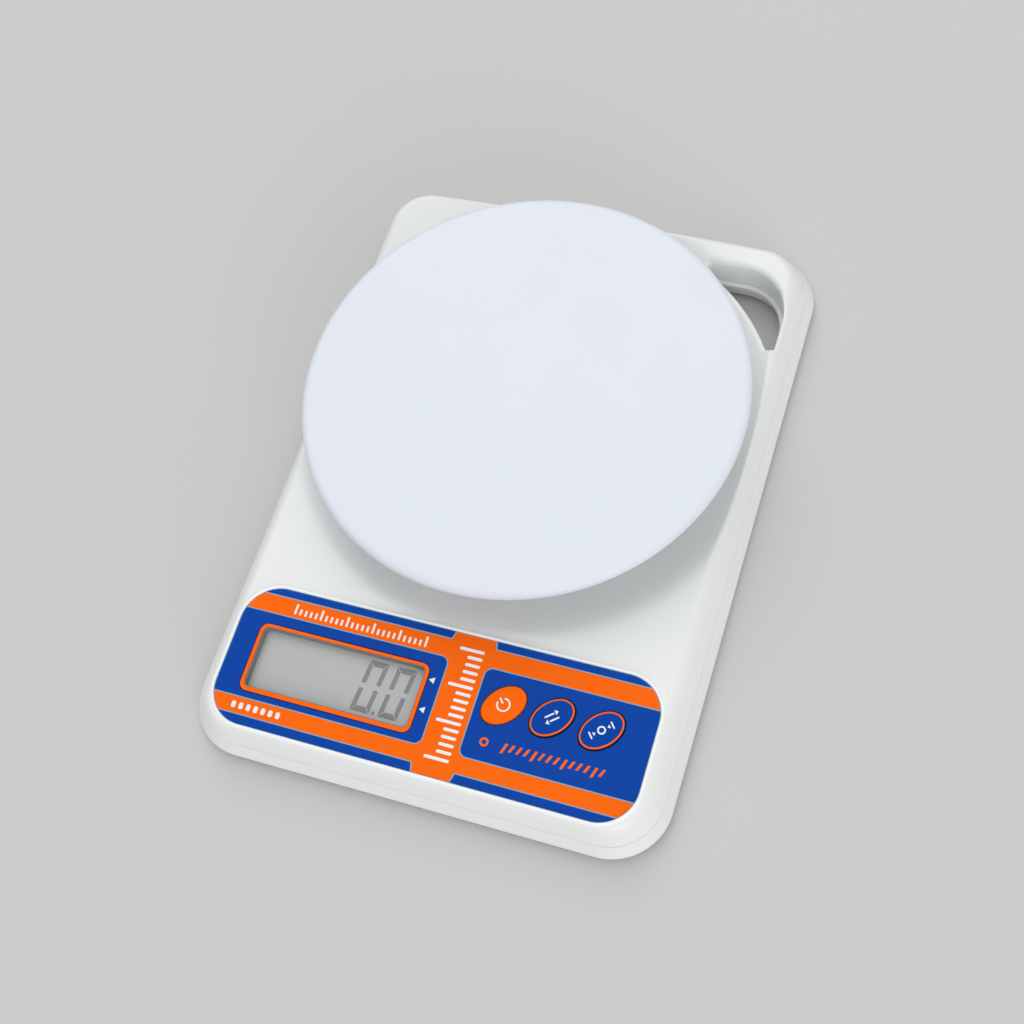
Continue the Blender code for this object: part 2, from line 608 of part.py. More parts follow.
def make_load_frame():
    """Cross-shaped steel frame on the free end of the load cell, with its screws and posts."""
    axis = empty("load_frame_slide", (0, PAN_CENTRE_Y, FRAME_BOTTOM))
    plate = piece("load_frame", rod(17 * MM, 0, FRAME_THICKNESS, TURRET_SEGMENTS // 2),
                  "frame_steel", axis)
    for i in range(2):
        arm = prism(rounded_rectangle(92 * MM, 13 * MM, 6.4 * MM), 0, FRAME_THICKNESS)
        angle = math.pi / 4 + i * math.pi / 2
        bmesh.ops.rotate(arm, verts=arm.verts, matrix=Matrix.Rotation(angle, 3, "Z"))
        boolean(plate, tool(f"add_frame_arm_{i + 1}", arm, axis), "UNION")
    seat_low = (-7 * MM, -CELL_LENGTH / 2, -FRAME_BOTTOM + CELL_BOTTOM + CELL_SIDE + GAP)
    seat = box(seat_low, (7 * MM, -CELL_LENGTH / 2 + 24.5 * MM, FRAME_THICKNESS * 0.5))
    boolean(plate, tool("add_cell_seat", seat, axis), "UNION")
    tail = box((-7 * MM, -CELL_LENGTH / 2, 0.1 * MM), (7 * MM, -10 * MM, FRAME_THICKNESS))
    boolean(plate, tool("add_frame_tail", tail, axis), "UNION")
    for i, y in enumerate(cell_hole_places(-1)):
        hole = rod(2.3 * MM, -5 * MM, 5 * MM, SMALL_SEGMENTS)
        boolean(plate, tool(f"cut_frame_hole_{i + 1}", hole, axis, (0, y - PAN_CENTRE_Y, 0)))
    for i, (x, y) in enumerate(post_places()):
        hole = rod(2.9 * MM, -5 * MM, 5 * MM, SMALL_SEGMENTS)
        boolean(plate, tool(f"cut_post_seat_{i + 1}", hole, axis, (x, y - PAN_CENTRE_Y, 0)))

    seat_z = FRAME_THICKNESS + GAP
    for i, y in enumerate(cell_hole_places(-1)):
        bm = turned(screw_profile(3.6 * MM, 1.7 * MM, 1.9 * MM, 13 * MM), SMALL_SEGMENTS)
        bmesh.ops.rotate(bm, verts=bm.verts, matrix=Matrix.Rotation(math.pi, 3, "X"))
        piece(f"cell_screw_frame_{i + 1}", bm, "screw_steel", axis, (0, y - PAN_CENTRE_Y, seat_z))

    shoulder = POST_SHOULDER - FRAME_BOTTOM
    post = [(0, -0.3 * MM), (2.4 * MM, -0.3 * MM), (2.4 * MM, seat_z), (5 * MM, seat_z),
            (5 * MM, seat_z + 2 * MM), (POST_RADIUS, seat_z + 2.6 * MM), (POST_RADIUS, shoulder),
            (2.6 * MM, shoulder), (2.6 * MM, shoulder + 1.2 * MM), (2.0 * MM, shoulder + 1.8 * MM),
            (0, shoulder + 1.8 * MM)]
    for i, (x, y) in enumerate(post_places()):
        piece(f"pan_post_{i + 1}", turned(post, ROUND_SEGMENTS), "rubber_grey", axis,
              (x, y - PAN_CENTRE_Y, 0))


def make_pan():
    """The round pan: a thin plate with a turned-down rim, a stiffening ring and four sockets."""
    axis = empty("pan_lift", (0, PAN_CENTRE_Y, 0))
    edge = 1.6 * MM
    profile = [(0, PAN_UNDER), (48.0 * MM, PAN_UNDER), (48.2 * MM, PAN_UNDER - 1.4 * MM),
               (49.4 * MM, PAN_UNDER - 1.4 * MM), (49.6 * MM, PAN_UNDER),
               (PAN_RADIUS - 2.5 * MM, PAN_UNDER), (PAN_RADIUS - 1.9 * MM, PAN_RIM_BOTTOM),
               (PAN_RADIUS - 0.5 * MM, PAN_RIM_BOTTOM), (PAN_RADIUS, PAN_RIM_BOTTOM + 0.5 * MM)]
    for i in range(5):
        a = math.pi / 2 * i / 4
        profile.append((PAN_RADIUS - edge + edge * math.cos(a), PAN_TOP - edge + edge * math.sin(a)))
    profile.append((0, PAN_TOP))
    pan = piece("pan", turned(profile, PAN_SEGMENTS), "pan_white", axis)
    for i, (x, y) in enumerate(post_places()):
        low = POST_SHOULDER + GAP
        socket = [(3.0 * MM, low), (5.4 * MM, low), (5.4 * MM, PAN_UNDER + 0.4 * MM),
                  (3.0 * MM, PAN_UNDER + 0.4 * MM)]
        ring = turned_ring(socket, ROUND_SEGMENTS)
        boolean(pan, tool(f"add_socket_{i + 1}", ring, axis, (x, y - PAN_CENTRE_Y, 0)), "UNION")


# ---------------------------------------------------------------- console pieces

def make_label(console):
    """The printed film on the console, with holes for the window and the three keys."""
    outline = rounded_rectangle(LABEL_WIDTH, LABEL_HEIGHT, LABEL_RADIUS)
    low = -LABEL_RECESS + GAP
    label = piece("label_overlay", prism(outline, low, low + LABEL_THICKNESS), "label_blue", console)
    window = rounded_rectangle(*WINDOW_SIZE, 1.5 * MM, WINDOW_CENTRE, 3)
    boolean(label, tool("cut_label_window", prism(window, -3 * MM, 3 * MM), console))
    for i, name in enumerate(KEY_NAMES):
        centre = (KEY_FIRST_X + i * KEY_PITCH, KEY_V)
        hole = ellipse(KEY_LONG + GAP, KEY_SHORT + GAP, KEY_TILT, centre)
        boolean(label, tool(f"cut_label_key_{name}", prism(hole, -3 * MM, 3 * MM), console))


def make_display(console):
    """Clear window, liquid-crystal glass, its holder and the rubber connector under it."""
    cx, cy = WINDOW_CENTRE
    w, h = GLASS_SIZE
    lens = rounded_rectangle(w - 0.4 * MM, h - 0.4 * MM, 1 * MM, WINDOW_CENTRE, 3)
    piece("display_window", prism(lens, -3.3 * MM, -WALL - GAP), "window_clear", console)
    glass = rounded_rectangle(w, h, 0.5 * MM, WINDOW_CENTRE, 2)
    piece("display_glass", prism(glass, -6.2 * MM, -3.6 * MM), "display_grey", console)
    outer = rounded_rectangle(w + 3.4 * MM, h + 3.4 * MM, 1.5 * MM, WINDOW_CENTRE, 3)
    holder = piece("display_holder", prism(outer, BOARD_TOP + GAP, -WALL - GAP), "shell_white", console)
    inner = rounded_rectangle(w + 2 * GAP, h + 2 * GAP, 0.8 * MM, WINDOW_CENTRE, 3)
    boolean(holder, tool("cut_holder", prism(inner, -12 * MM, 2 * MM), console))
    strip_low = (cx - 25 * MM, cy - h / 2 + 1.5 * MM, BOARD_TOP + GAP)
    strip_high = (cx + 25 * MM, cy - h / 2 + 4.1 * MM, -6.2 * MM - GAP)
    piece("display_connector", box(strip_low, strip_high), "rubber_grey", console)


def make_board(console):
    """Circuit board with its resin-covered chip, a quartz can and four screws."""
    outline = rounded_rectangle(132 * MM, 38 * MM, 2 * MM, (0, 2 * MM), 3)
    low = BOARD_TOP - BOARD_THICKNESS
    board = piece("circuit_board", prism(outline, low, BOARD_TOP), "board_green", console)
    for i, (u, v) in enumerate(BOARD_SCREWS):
        hole = rod(1.5 * MM, low - 2 * MM, BOARD_TOP + 2 * MM, SMALL_SEGMENTS)
        boolean(board, tool(f"cut_board_hole_{i + 1}", hole, console, (u, v, 0)))
        bm = turned(screw_profile(2.3 * MM, 1.2 * MM, 1.0 * MM, 6 * MM), SMALL_SEGMENTS)
        piece(f"board_screw_{i + 1}", bm, "screw_steel", console, (u, v, low - GAP))
    dome = [(0, -1.8 * MM), (2.5 * MM, -1.5 * MM), (4.6 * MM, -0.7 * MM), (5.2 * MM, 0), (0, 0)]
    piece("chip_dome", turned(dome, ROUND_SEGMENTS), "resin_black", console,
          (18 * MM, -6 * MM, low - GAP))
    piece("quartz_can", prism(rounded_rectangle(10 * MM, 3.8 * MM, 1.8 * MM, steps=4), 0, 2.4 * MM),
          "screw_steel", console, (34 * MM, -8 * MM, low - GAP - 2.4 * MM))


def make_keys(console):
    """Three oval keys in the label, each over its own switch on the board."""
    floor = -LABEL_RECESS + GAP
    for i, name in enumerate(KEY_NAMES):
        place = (KEY_FIRST_X + i * KEY_PITCH, KEY_V, 0)
        travel = empty(f"key_{name}_travel", place)
        travel.parent = console
        rings = []
        for shrink, n in ((0.0, floor), (0.0, 0.0), (0.35 * MM, 0.3 * MM), (1.4 * MM, 0.5 * MM)):
            oval = ellipse(KEY_LONG - shrink, KEY_SHORT - shrink, KEY_TILT)
            rings.append([(x, y, n) for x, y in oval])
        finish = "key_orange" if name == "power" else "key_blue"
        key = piece(f"key_{name}", loft(rings), finish, travel)
        stem = rod(2.2 * MM, -3.4 * MM, floor + 0.2 * MM, SMALL_SEGMENTS)
        boolean(key, tool(f"add_key_stem_{name}", stem, travel), "UNION")

        body = prism(rounded_rectangle(6.2 * MM, 6.2 * MM, 0.5 * MM, steps=2), BOARD_TOP + GAP, -4.7 * MM)
        switch = piece(f"switch_{name}", body, "resin_black", console, place)
        bore = rod(2.0 * MM, -6.4 * MM, -3 * MM, SMALL_SEGMENTS)
        boolean(switch, tool(f"cut_switch_{name}", bore, console, place))
        plunger = rod(1.7 * MM, -5.7 * MM, -3.7 * MM, SMALL_SEGMENTS)
        piece(f"switch_plunger_{name}", plunger, "key_orange", travel)


# ---------------------------------------------------------------- batteries and wiring

def along_y(bm):
    """Lay a piece that was turned about Z along +Y."""
    bmesh.ops.rotate(bm, verts=bm.verts, matrix=Matrix.Rotation(-math.pi / 2, 3, "X"))
    return bm


def make_batteries():
    """Two AA cells, the first with its button to the rear and the second to the front."""
    profile = [(0, 0), (CELL_RADIUS - 0.6 * MM, 0), (CELL_RADIUS, 0.6 * MM),
               (CELL_RADIUS, 48.4 * MM), (CELL_RADIUS - 0.6 * MM, 49.0 * MM),
               (2.7 * MM, 49.0 * MM), (2.7 * MM, 50.0 * MM), (2.3 * MM, 50.2 * MM), (0, 50.2 * MM)]
    first = along_y(turned(profile, ROUND_SEGMENTS))
    piece("battery_1", first, "battery_wrap", location=(BATTERY_X[0], 3.3 * MM, BATTERY_Z))
    second = along_y(turned(profile, ROUND_SEGMENTS))
    bmesh.ops.rotate(second, verts=second.verts, matrix=Matrix.Rotation(math.pi, 3, "Z"))
    piece("battery_2", second, "battery_wrap", location=(BATTERY_X[1], 46.7 * MM, BATTERY_Z))


def tube(points, radius, sides):
    """A closed tube of round wire along a route."""
    rings = []
    side = Vector((0, 0, 1))
    for i, point in enumerate(points):
        ahead = points[min(i + 1, len(points) - 1)] - points[max(i - 1, 0)]
        ahead.normalize()
        side = (side - ahead * side.dot(ahead)).normalized()
        up = ahead.cross(side)
        angles = [2 * math.pi * k / sides for k in range(sides)]
        rings.append([point + (side * math.cos(a) + up * math.sin(a)) * radius for a in angles])
    return loft(rings)


def coil(start_radius, end_radius, length, turns):
    """A conical coil spring of round wire along +Y from the origin."""
    steps = int(turns * 9)
    points = []
    for i in range(steps + 1):
        t = i / steps
        angle = 2 * math.pi * turns * t
        r = start_radius + (end_radius - start_radius) * t
        points.append(Vector((r * math.cos(angle), length * t, r * math.sin(angle))))
    return tube(points, 0.35 * MM, 5)


def make_contacts():
    """Nickel contacts: a bridge and a spring in front, a plate and a spring behind."""
    front, rear = BAY_LOW[1] + GAP, BAY_HIGH[1] - GAP
    low_z, high_z = 7.5 * MM, 15.0 * MM
    sheet = 0.4 * MM
    piece("contact_bridge", box((BATTERY_X[0] - 6 * MM, front, low_z),
                                (BATTERY_X[1] + 6 * MM, front + sheet, high_z)), "contact_nickel")
    for name, x in (("positive", BATTERY_X[0]), ("negative", BATTERY_X[1])):
        piece(f"contact_{name}", box((x - 6 * MM, rear - sheet, low_z), (x + 6 * MM, rear, high_z)),
              "contact_nickel")
    piece("spring_front", coil(4.6 * MM, 2.4 * MM, 5.0 * MM, 3), "contact_nickel",
          location=(BATTERY_X[0], front + sheet + 0.7 * MM, BATTERY_Z))
    piece("spring_rear", coil(2.4 * MM, 4.6 * MM, 5.0 * MM, 3), "contact_nickel",
          location=(BATTERY_X[1], 47.4 * MM, BATTERY_Z))


def make_wire(name, finish, radius, points):
    """A thin cable through its route's points, as one smooth tube."""
    path = [Vector(p) * MM for p in points]
    samples = []
    for i in range(len(path) - 1):
        before = path[max(i - 1, 0)]
        after = path[min(i + 2, len(path) - 1)]
        a, b = path[i], path[i + 1]
        for k in range(3):
            t = k / 3
            samples.append(0.5 * ((2 * a) + (b - before) * t + (2 * before - 5 * a + 4 * b - after) * t * t
                                  + (3 * a - before - 3 * b + after) * t ** 3))
    samples.append(path[-1])
    piece(name, tube(samples, radius, 6), finish)


def make_wiring():
    """Battery leads and the load cell's cable, all inside the case and under the board."""
    make_wire("wire_red", "wire_red", 0.6 * MM,
              ((14, -6.9, 12), (13.6, -12, 11.4), (12, -25, 7.6), (11, -42, 5.6), (10.5, -58, 5.6),
               (10.5, -68, 5.9), (10.5, -73, 6.6)))
    make_wire("wire_black", "wire_black", 0.6 * MM,
              ((36, -6.9, 12), (35, -12, 11.2), (29, -25, 7.4), (20, -42, 5.6), (14.5, -58, 5.6),
               (13.5, -68, 5.9), (13.5, -73, 6.6)))
    make_wire("cell_cable", "silicone_white", 1.1 * MM,
              ((-8.0, 24, 12), (-11, 20, 10.4), (-15, 6, 7), (-17, -15, 5.7), (-14, -35, 5.7),
               (-8, -52, 5.7), (-4, -66, 5.9), (-3, -73, 6.3)))


# ---------------------------------------------------------------- battery door

def make_door():
    """Door under the battery bay, hinged on its rear edge, with a latch tongue and grip ribs."""
    pivot_z = BASE_BOTTOM + DOOR_THICKNESS / 2
    roll = DOOR_THICKNESS / 2
    centre_x = (DOOR_LOW[0] + DOOR_HIGH[0]) / 2
    width = DOOR_HIGH[0] - DOOR_LOW[0]
    length = DOOR_HIGH[1] - DOOR_LOW[1] - roll
    pivot = empty("door_hinge", (centre_x, DOOR_HIGH[1] - roll, pivot_z))
    side = [(roll * math.cos(a), roll * math.sin(a))
            for a in (math.pi / 2, math.pi / 4, 0, -math.pi / 4, -math.pi / 2)]
    side += [(-length, -roll), (-length, roll)]
    rings = [[(x, y, z) for y, z in side] for x in (-width / 2, width / 2)]
    door = piece("battery_door", loft(rings), "shell_white", pivot)
    tongue_y = BAY_LOW[1] + 0.6 * MM - (DOOR_HIGH[1] - roll)
    tongue = box((-4 * MM, tongue_y, roll - 0.3 * MM), (4 * MM, tongue_y + 1 * MM, roll + 1.9 * MM))
    boolean(door, tool("add_latch_tongue", tongue, pivot), "UNION")
    for i in range(4):
        y = -length + (6 + 2.4 * i) * MM
        groove = box((-8 * MM, y, -roll - 1 * MM), (8 * MM, y + 1.2 * MM, -roll + 0.45 * MM))
        boolean(door, tool(f"cut_grip_{i + 1}", groove, pivot))


def main():
    """Build the whole scale."""
    clear_scene()
    make_materials()
    console = empty("console_frame", (0, CONSOLE_Y, deck_height(CONSOLE_Y)),
                    (math.atan(DECK_SLOPE), 0, 0))
    make_cover(console)
    make_base()
    make_feet()
    make_case_screws()
    make_load_cell()
    make_load_frame()
    make_pan()
    make_label(console)
    make_display(console)
    make_board(console)
    make_keys(console)
    make_batteries()
    make_contacts()
    make_wiring()
    make_door()


main()
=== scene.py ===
"""Looks of a digital gram scale: dished cover, lift-off pan, printed console and keys."""
import json
import logging
import math
from collections.abc import Sequence
from dataclasses import dataclass, field
from enum import Enum

import bmesh
import bpy
from mathutils import Matrix, Vector


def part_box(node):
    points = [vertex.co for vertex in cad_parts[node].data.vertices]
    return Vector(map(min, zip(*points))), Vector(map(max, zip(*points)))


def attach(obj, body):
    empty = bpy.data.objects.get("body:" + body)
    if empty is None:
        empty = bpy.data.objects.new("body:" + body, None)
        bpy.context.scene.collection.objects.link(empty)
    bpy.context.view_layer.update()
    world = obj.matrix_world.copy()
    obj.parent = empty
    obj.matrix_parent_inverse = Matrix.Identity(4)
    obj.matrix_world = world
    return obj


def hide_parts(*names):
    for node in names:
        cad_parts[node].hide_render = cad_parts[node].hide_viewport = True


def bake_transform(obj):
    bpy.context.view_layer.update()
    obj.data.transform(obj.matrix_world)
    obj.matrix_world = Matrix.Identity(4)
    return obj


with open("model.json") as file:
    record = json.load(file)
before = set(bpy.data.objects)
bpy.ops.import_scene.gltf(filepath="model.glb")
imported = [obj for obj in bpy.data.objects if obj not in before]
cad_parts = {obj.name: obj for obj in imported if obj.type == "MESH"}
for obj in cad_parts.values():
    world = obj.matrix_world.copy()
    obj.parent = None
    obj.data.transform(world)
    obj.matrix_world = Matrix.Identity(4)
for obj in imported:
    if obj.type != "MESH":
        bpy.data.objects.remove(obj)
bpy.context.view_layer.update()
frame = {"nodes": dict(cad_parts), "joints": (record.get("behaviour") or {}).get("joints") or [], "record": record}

MM = 0.001

LOG = logging.getLogger("gram_scale")

Point = tuple[float, float]
Ring = list[Vector]
Band = tuple[float, float]
Colour = tuple[float, float, float]
Tool = tuple["Cut", bmesh.types.BMesh]

FEET = ("foot_front_left", "foot_front_right", "foot_rear_left", "foot_rear_right")
CASE_SCREWS = (
    "case_screw_front_left",
    "case_screw_front_right",
    "case_screw_rear_left",
    "case_screw_rear_right",
)
CELL_SCREWS = ("cell_screw_base_1", "cell_screw_base_2")
POSTS = ("pan_post_1", "pan_post_2", "pan_post_3", "pan_post_4")


class Body(Enum):
    """Rigid bodies that pieces ride on."""

    HOUSING = "housing"
    LOAD_FRAME = "load_frame"
    PAN = "pan"
    DOOR = "battery_door"
    KEY_POWER = "key_power"
    KEY_UNIT = "key_unit"
    KEY_TARE = "key_tare"


class Cut(Enum):
    """Ways to combine one solid with another."""

    REMOVE = "DIFFERENCE"
    ADD = "UNION"


class Legend(Enum):
    """Symbols printed on the keys."""

    POWER = "power"
    UNIT = "unit"
    TARE = "tare"


# ------------------------------------------------------------------ plan outlines


def arc(centre: Point, radius: float, start: float, end: float, steps: int) -> list[Point]:
    """Sample an arc, both ends included, between two angles in radians."""
    angles = [start + (end - start) * i / steps for i in range(steps + 1)]
    return [(centre[0] + radius * math.cos(a), centre[1] + radius * math.sin(a)) for a in angles]


def circle(radius: float, segments: int, centre: Point = (0.0, 0.0)) -> list[Point]:
    """Outline of a circle."""
    return arc(centre, radius, 0.0, 2 * math.pi, segments)[:-1]


def rounded_rectangle(
    size: Point, radius: float, centre: Point = (0.0, 0.0), steps: int = 10
) -> list[Point]:
    """Outline of a rectangle with round corners.

    Args:
        size: Width and height.
        radius: Radius of the corners.
        centre: Middle of the rectangle.
        steps: Facets in each corner.

    Returns:
        The points, counterclockwise from the right side.
    """
    points: list[Point] = []
    for i, (sx, sy) in enumerate(((1, 1), (-1, 1), (-1, -1), (1, -1))):
        corner = (centre[0] + sx * (size[0] / 2 - radius), centre[1] + sy * (size[1] / 2 - radius))
        points += arc(corner, radius, i * math.pi / 2, (i + 1) * math.pi / 2, steps)
    return points


def ellipse(axes: Point, tilt: float, centre: Point = (0.0, 0.0), segments: int = 72) -> list[Point]:
    """Outline of a tilted ellipse.

    Args:
        axes: Long and short half axes.
        tilt: Angle of the long axis, in radians.
        centre: Middle of the ellipse.
        segments: Number of points.

    Returns:
        The points, counterclockwise.
    """
    points: list[Point] = []
    for i in range(segments):
        angle = 2 * math.pi * i / segments
        u, v = axes[0] * math.cos(angle), axes[1] * math.sin(angle)
        x = centre[0] + u * math.cos(tilt) - v * math.sin(tilt)
        points.append((x, centre[1] + u * math.sin(tilt) + v * math.cos(tilt)))
    return points


def clipped(subject: Sequence[Point], window: Sequence[Point]) -> list[Point]:
    """Part of a convex outline that lies inside a convex window.

    Args:
        subject: Outline to trim.
        window: Counterclockwise window.

    Returns:
        The outline of the part that both cover.
    """
    result = list(subject)
    for a, b in zip(window, [*window[1:], window[0]]):

        def side(p: Point, a: Point = a, b: Point = b) -> float:
            """Signed distance of a point from the window's edge, times the edge's length."""
            return (b[0] - a[0]) * (p[1] - a[1]) - (b[1] - a[1]) * (p[0] - a[0])

        kept: list[Point] = []
        for p, q in zip(result, [*result[1:], result[0]]):
            sp, sq = side(p), side(q)
            if sp >= 0:
                kept.append(p)
            if (sp >= 0) != (sq >= 0):
                t = sp / (sp - sq)
                kept.append((p[0] + (q[0] - p[0]) * t, p[1] + (q[1] - p[1]) * t))
        result = kept
    return result


def rectangle_distance(x: float, y: float, size: Point, radius: float, centre: Point) -> float:
    """Distance of a point outside a rounded rectangle, negative inside it.

    Args:
        x: Place of the point along the width.
        y: Place of the point along the height.
        size: Width and height of the rectangle.
        radius: Radius of its corners.
        centre: Middle of the rectangle.

    Returns:
        The distance.
    """
    dx = abs(x - centre[0]) - size[0] / 2 + radius
    dy = abs(y - centre[1]) - size[1] / 2 + radius
    return math.hypot(max(dx, 0), max(dy, 0)) + min(max(dx, dy), 0) - radius


# ------------------------------------------------------------------ solids


def loft(rings: Sequence[Sequence[Sequence[float]]], bands: Sequence[int] = ()) -> bmesh.types.BMesh:
    """Join rings of equal length into one closed solid with flat ends.

    Args:
        rings: Rings of points, from one end of the solid to the other.
        bands: Material index of the faces after each ring, and last that of the end face.

    Returns:
        The closed mesh.
    """
    bm = bmesh.new()
    loops = [[bm.verts.new(point) for point in ring] for ring in rings]
    count = len(loops[0])
    for k, (lower, upper) in enumerate(zip(loops, loops[1:])):
        for i in range(count):
            j = (i + 1) % count
            face = bm.faces.new((lower[i], lower[j], upper[j], upper[i]))
            face.material_index = bands[k] if bands else 0
    bm.faces.new(list(reversed(loops[0])))
    bm.faces.new(loops[-1]).material_index = bands[-1] if bands else 0
    return bm


def closed_sweep(rings: Sequence[Ring]) -> bmesh.types.BMesh:
    """Join rings of a closed profile into a band that meets itself, such as a bead.

    Args:
        rings: The profile at each step round the band.

    Returns:
        The closed mesh.
    """
    bm = bmesh.new()
    loops = [[bm.verts.new(point) for point in ring] for ring in rings]
    for lower, upper in zip(loops, [*loops[1:], loops[0]]):
        for i in range(len(lower)):
            j = (i + 1) % len(lower)
            bm.faces.new((lower[i], lower[j], upper[j], upper[i]))
    return bm


def prism(outline: Sequence[Point], low: float, high: float, edge: float = 0.0) -> bmesh.types.BMesh:
    """Extrude an outline upwards.

    Args:
        outline: Counterclockwise outline.
        low: Height of the bottom.
        high: Height of the top.
        edge: Radius of the rounded top edge, or 0 for a sharp one.

    Returns:
        The closed mesh.
    """
    rings = [[(x, y, low) for x, y in outline]]
    if edge:
        for step in range(4):
            angle = math.pi / 2 * step / 3
            inset = offset(outline, -edge * (1 - math.cos(angle)))
            rings.append([(x, y, high - edge + edge * math.sin(angle)) for x, y in inset])
    else:
        rings.append([(x, y, high) for x, y in outline])
    return loft(rings)


def offset(outline: Sequence[Point], grow: float) -> list[Point]:
    """Move a smooth outline outwards along its own normals, or inwards if grow is negative.

    Args:
        outline: Counterclockwise outline.
        grow: How far outwards.

    Returns:
        The moved points.
    """
    result: list[Point] = []
    count = len(outline)
    for i, (x, y) in enumerate(outline):
        before, after = outline[i - 1], outline[(i + 1) % count]
        tangent = Vector((after[0] - before[0], after[1] - before[1])).normalized()
        result.append((x + tangent.y * grow, y - tangent.x * grow))
    return result


def turned(profile: Sequence[Point], segments: int, phase: float = 0.0) -> bmesh.types.BMesh:
    """Turn a profile of radius and height pairs, with both ends on the axis, about Z.

    Args:
        profile: The pairs in order.
        segments: Facets round the axis.
        phase: Angle of the first facet, in radians.

    Returns:
        The closed mesh.
    """
    start, end = profile[0], profile[-1]
    inner = [pair for pair in profile if pair[0] > 0]
    rings = []
    for radius, z in inner:
        points = arc((0, 0), radius, phase, phase + 2 * math.pi, segments)[:-1]
        rings.append([(x, y, z) for x, y in points])
    bm = loft(rings)
    bm.faces.ensure_lookup_table()
    for face, z in ((bm.faces[-2], start[1]), (bm.faces[-1], end[1])):
        hub = bmesh.ops.poke(bm, faces=[face])["verts"][0]
        hub.co.z = z
    return bm


def round_over(radius: float, height: float, edge: float, steps: int = 5) -> list[Point]:
    """Profile pairs of a rounded upper edge, from the side to the top."""
    angles = [math.pi / 2 * i / steps for i in range(steps + 1)]
    return [(radius - edge + edge * math.cos(a), height - edge + edge * math.sin(a)) for a in angles]


def box(low: Sequence[float], high: Sequence[float]) -> bmesh.types.BMesh:
    """A block between two corners, for cutting."""
    outline = [(low[0], low[1]), (high[0], low[1]), (high[0], high[1]), (low[0], high[1])]
    return prism(outline, low[2], high[2])


def to_mesh(bm: bmesh.types.BMesh, name: str) -> bpy.types.Mesh:
    """Turn a bmesh into a mesh with its normals facing out, and free it.

    Args:
        bm: The bmesh to turn.
        name: Name of the mesh.

    Returns:
        The new mesh.
    """
    bmesh.ops.recalc_face_normals(bm, faces=bm.faces)
    mesh = bpy.data.meshes.new(name)
    bm.to_mesh(mesh)
    bm.free()
    return mesh


def combined(parts: Sequence[tuple[bpy.types.Mesh, int | None]]) -> bmesh.types.BMesh:
    """Put several meshes into one.

    Args:
        parts: The meshes, each with its material index, or None to keep its own.

    Returns:
        The joined mesh.
    """
    bm = bmesh.new()
    for mesh, index in parts:
        first = len(bm.faces)
        bm.from_mesh(mesh)
        bm.faces.ensure_lookup_table()
        if index is not None:
            for face in bm.faces[first:]:
                face.material_index = index
    return bm


def moved(bm: bmesh.types.BMesh, matrix: Matrix) -> bmesh.types.BMesh:
    """Move a bmesh in place, and return it."""
    bmesh.ops.transform(bm, matrix=matrix, verts=bm.verts)
    return bm


def carved(mesh: bpy.types.Mesh, tools: Sequence[Tool]) -> bpy.types.Mesh:
    """Apply exact Booleans to a mesh, one after another.

    Args:
        mesh: The solid to work on.
        tools: For each step, how to combine and the solid to combine with.

    Returns:
        The new mesh.
    """
    target = bpy.data.objects.new("workpiece", mesh)
    bpy.context.scene.collection.objects.link(target)
    helpers: list[bpy.types.Object] = []
    for cut, bm in tools:
        helper = bpy.data.objects.new("tool", to_mesh(bm, "tool"))
        bpy.context.scene.collection.objects.link(helper)
        helpers.append(helper)
        modifier = target.modifiers.new("cut", "BOOLEAN")
        modifier.operation = cut.value
        modifier.solver = "EXACT"
        modifier.object = helper
    depsgraph = bpy.context.evaluated_depsgraph_get()
    result = bpy.data.meshes.new_from_object(target.evaluated_get(depsgraph))
    for obj in [target, *helpers]:
        bpy.data.objects.remove(obj, do_unlink=True)
    return result


# ------------------------------------------------------------------ sizes and places


def millimetres(pairs: Sequence[Band]) -> list[Point]:
    """Turn pairs in millimetres into metres."""
    return [(first * MM, second * MM) for first, second in pairs]


def plan_middle(node: str) -> Point:
    """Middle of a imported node, seen from above."""
    low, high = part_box(node)
    return ((low.x + high.x) / 2, (low.y + high.y) / 2)


def half_width(node: str) -> float:
    """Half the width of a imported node, which is its radius if it is round."""
    low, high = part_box(node)
    return (high.x - low.x) / 2


# ------------------------------------------------------------------ node trees


class Tree:
    """A small helper that places nodes and links them by socket name."""

    def __init__(self, tree: bpy.types.NodeTree) -> None:
        """Keep the tree to work on."""
        self.tree = tree

    def add(self, kind: str, **settings: object) -> bpy.types.Node:
        """Place a node and set its properties.

        Args:
            kind: Blender's type of the node.
            settings: The properties to set.

        Returns:
            The new node.
        """
        node = self.tree.nodes.new(kind)
        for name, value in settings.items():
            setattr(node, name, value)
        return node

    def link(self, source: bpy.types.NodeSocket, target: bpy.types.NodeSocket) -> None:
        """Join two sockets."""
        self.tree.links.new(source, target)

    def group(self, tree: bpy.types.NodeTree, values: dict[str, object]) -> bpy.types.Node:
        """Place a node group and set its inputs.

        Args:
            tree: The shared group.
            values: Value of each input that differs from the group's own.

        Returns:
            The new node.
        """
        node = self.add("ShaderNodeGroup", node_tree=tree)
        for name, value in values.items():
            node.inputs[name].default_value = value
        return node

    def maths(self, operation: str, first: object, second: object) -> bpy.types.NodeSocket:
        """Place a Math node whose inputs are sockets or numbers.

        Args:
            operation: Blender's name of the operation.
            first: First socket or number.
            second: Second socket or number.

        Returns:
            The output socket.
        """
        node = self.add("ShaderNodeMath", operation=operation)
        for i, value in enumerate((first, second)):
            if isinstance(value, bpy.types.NodeSocket):
                self.link(value, node.inputs[i])
            else:
                node.inputs[i].default_value = value
        return node.outputs[0]


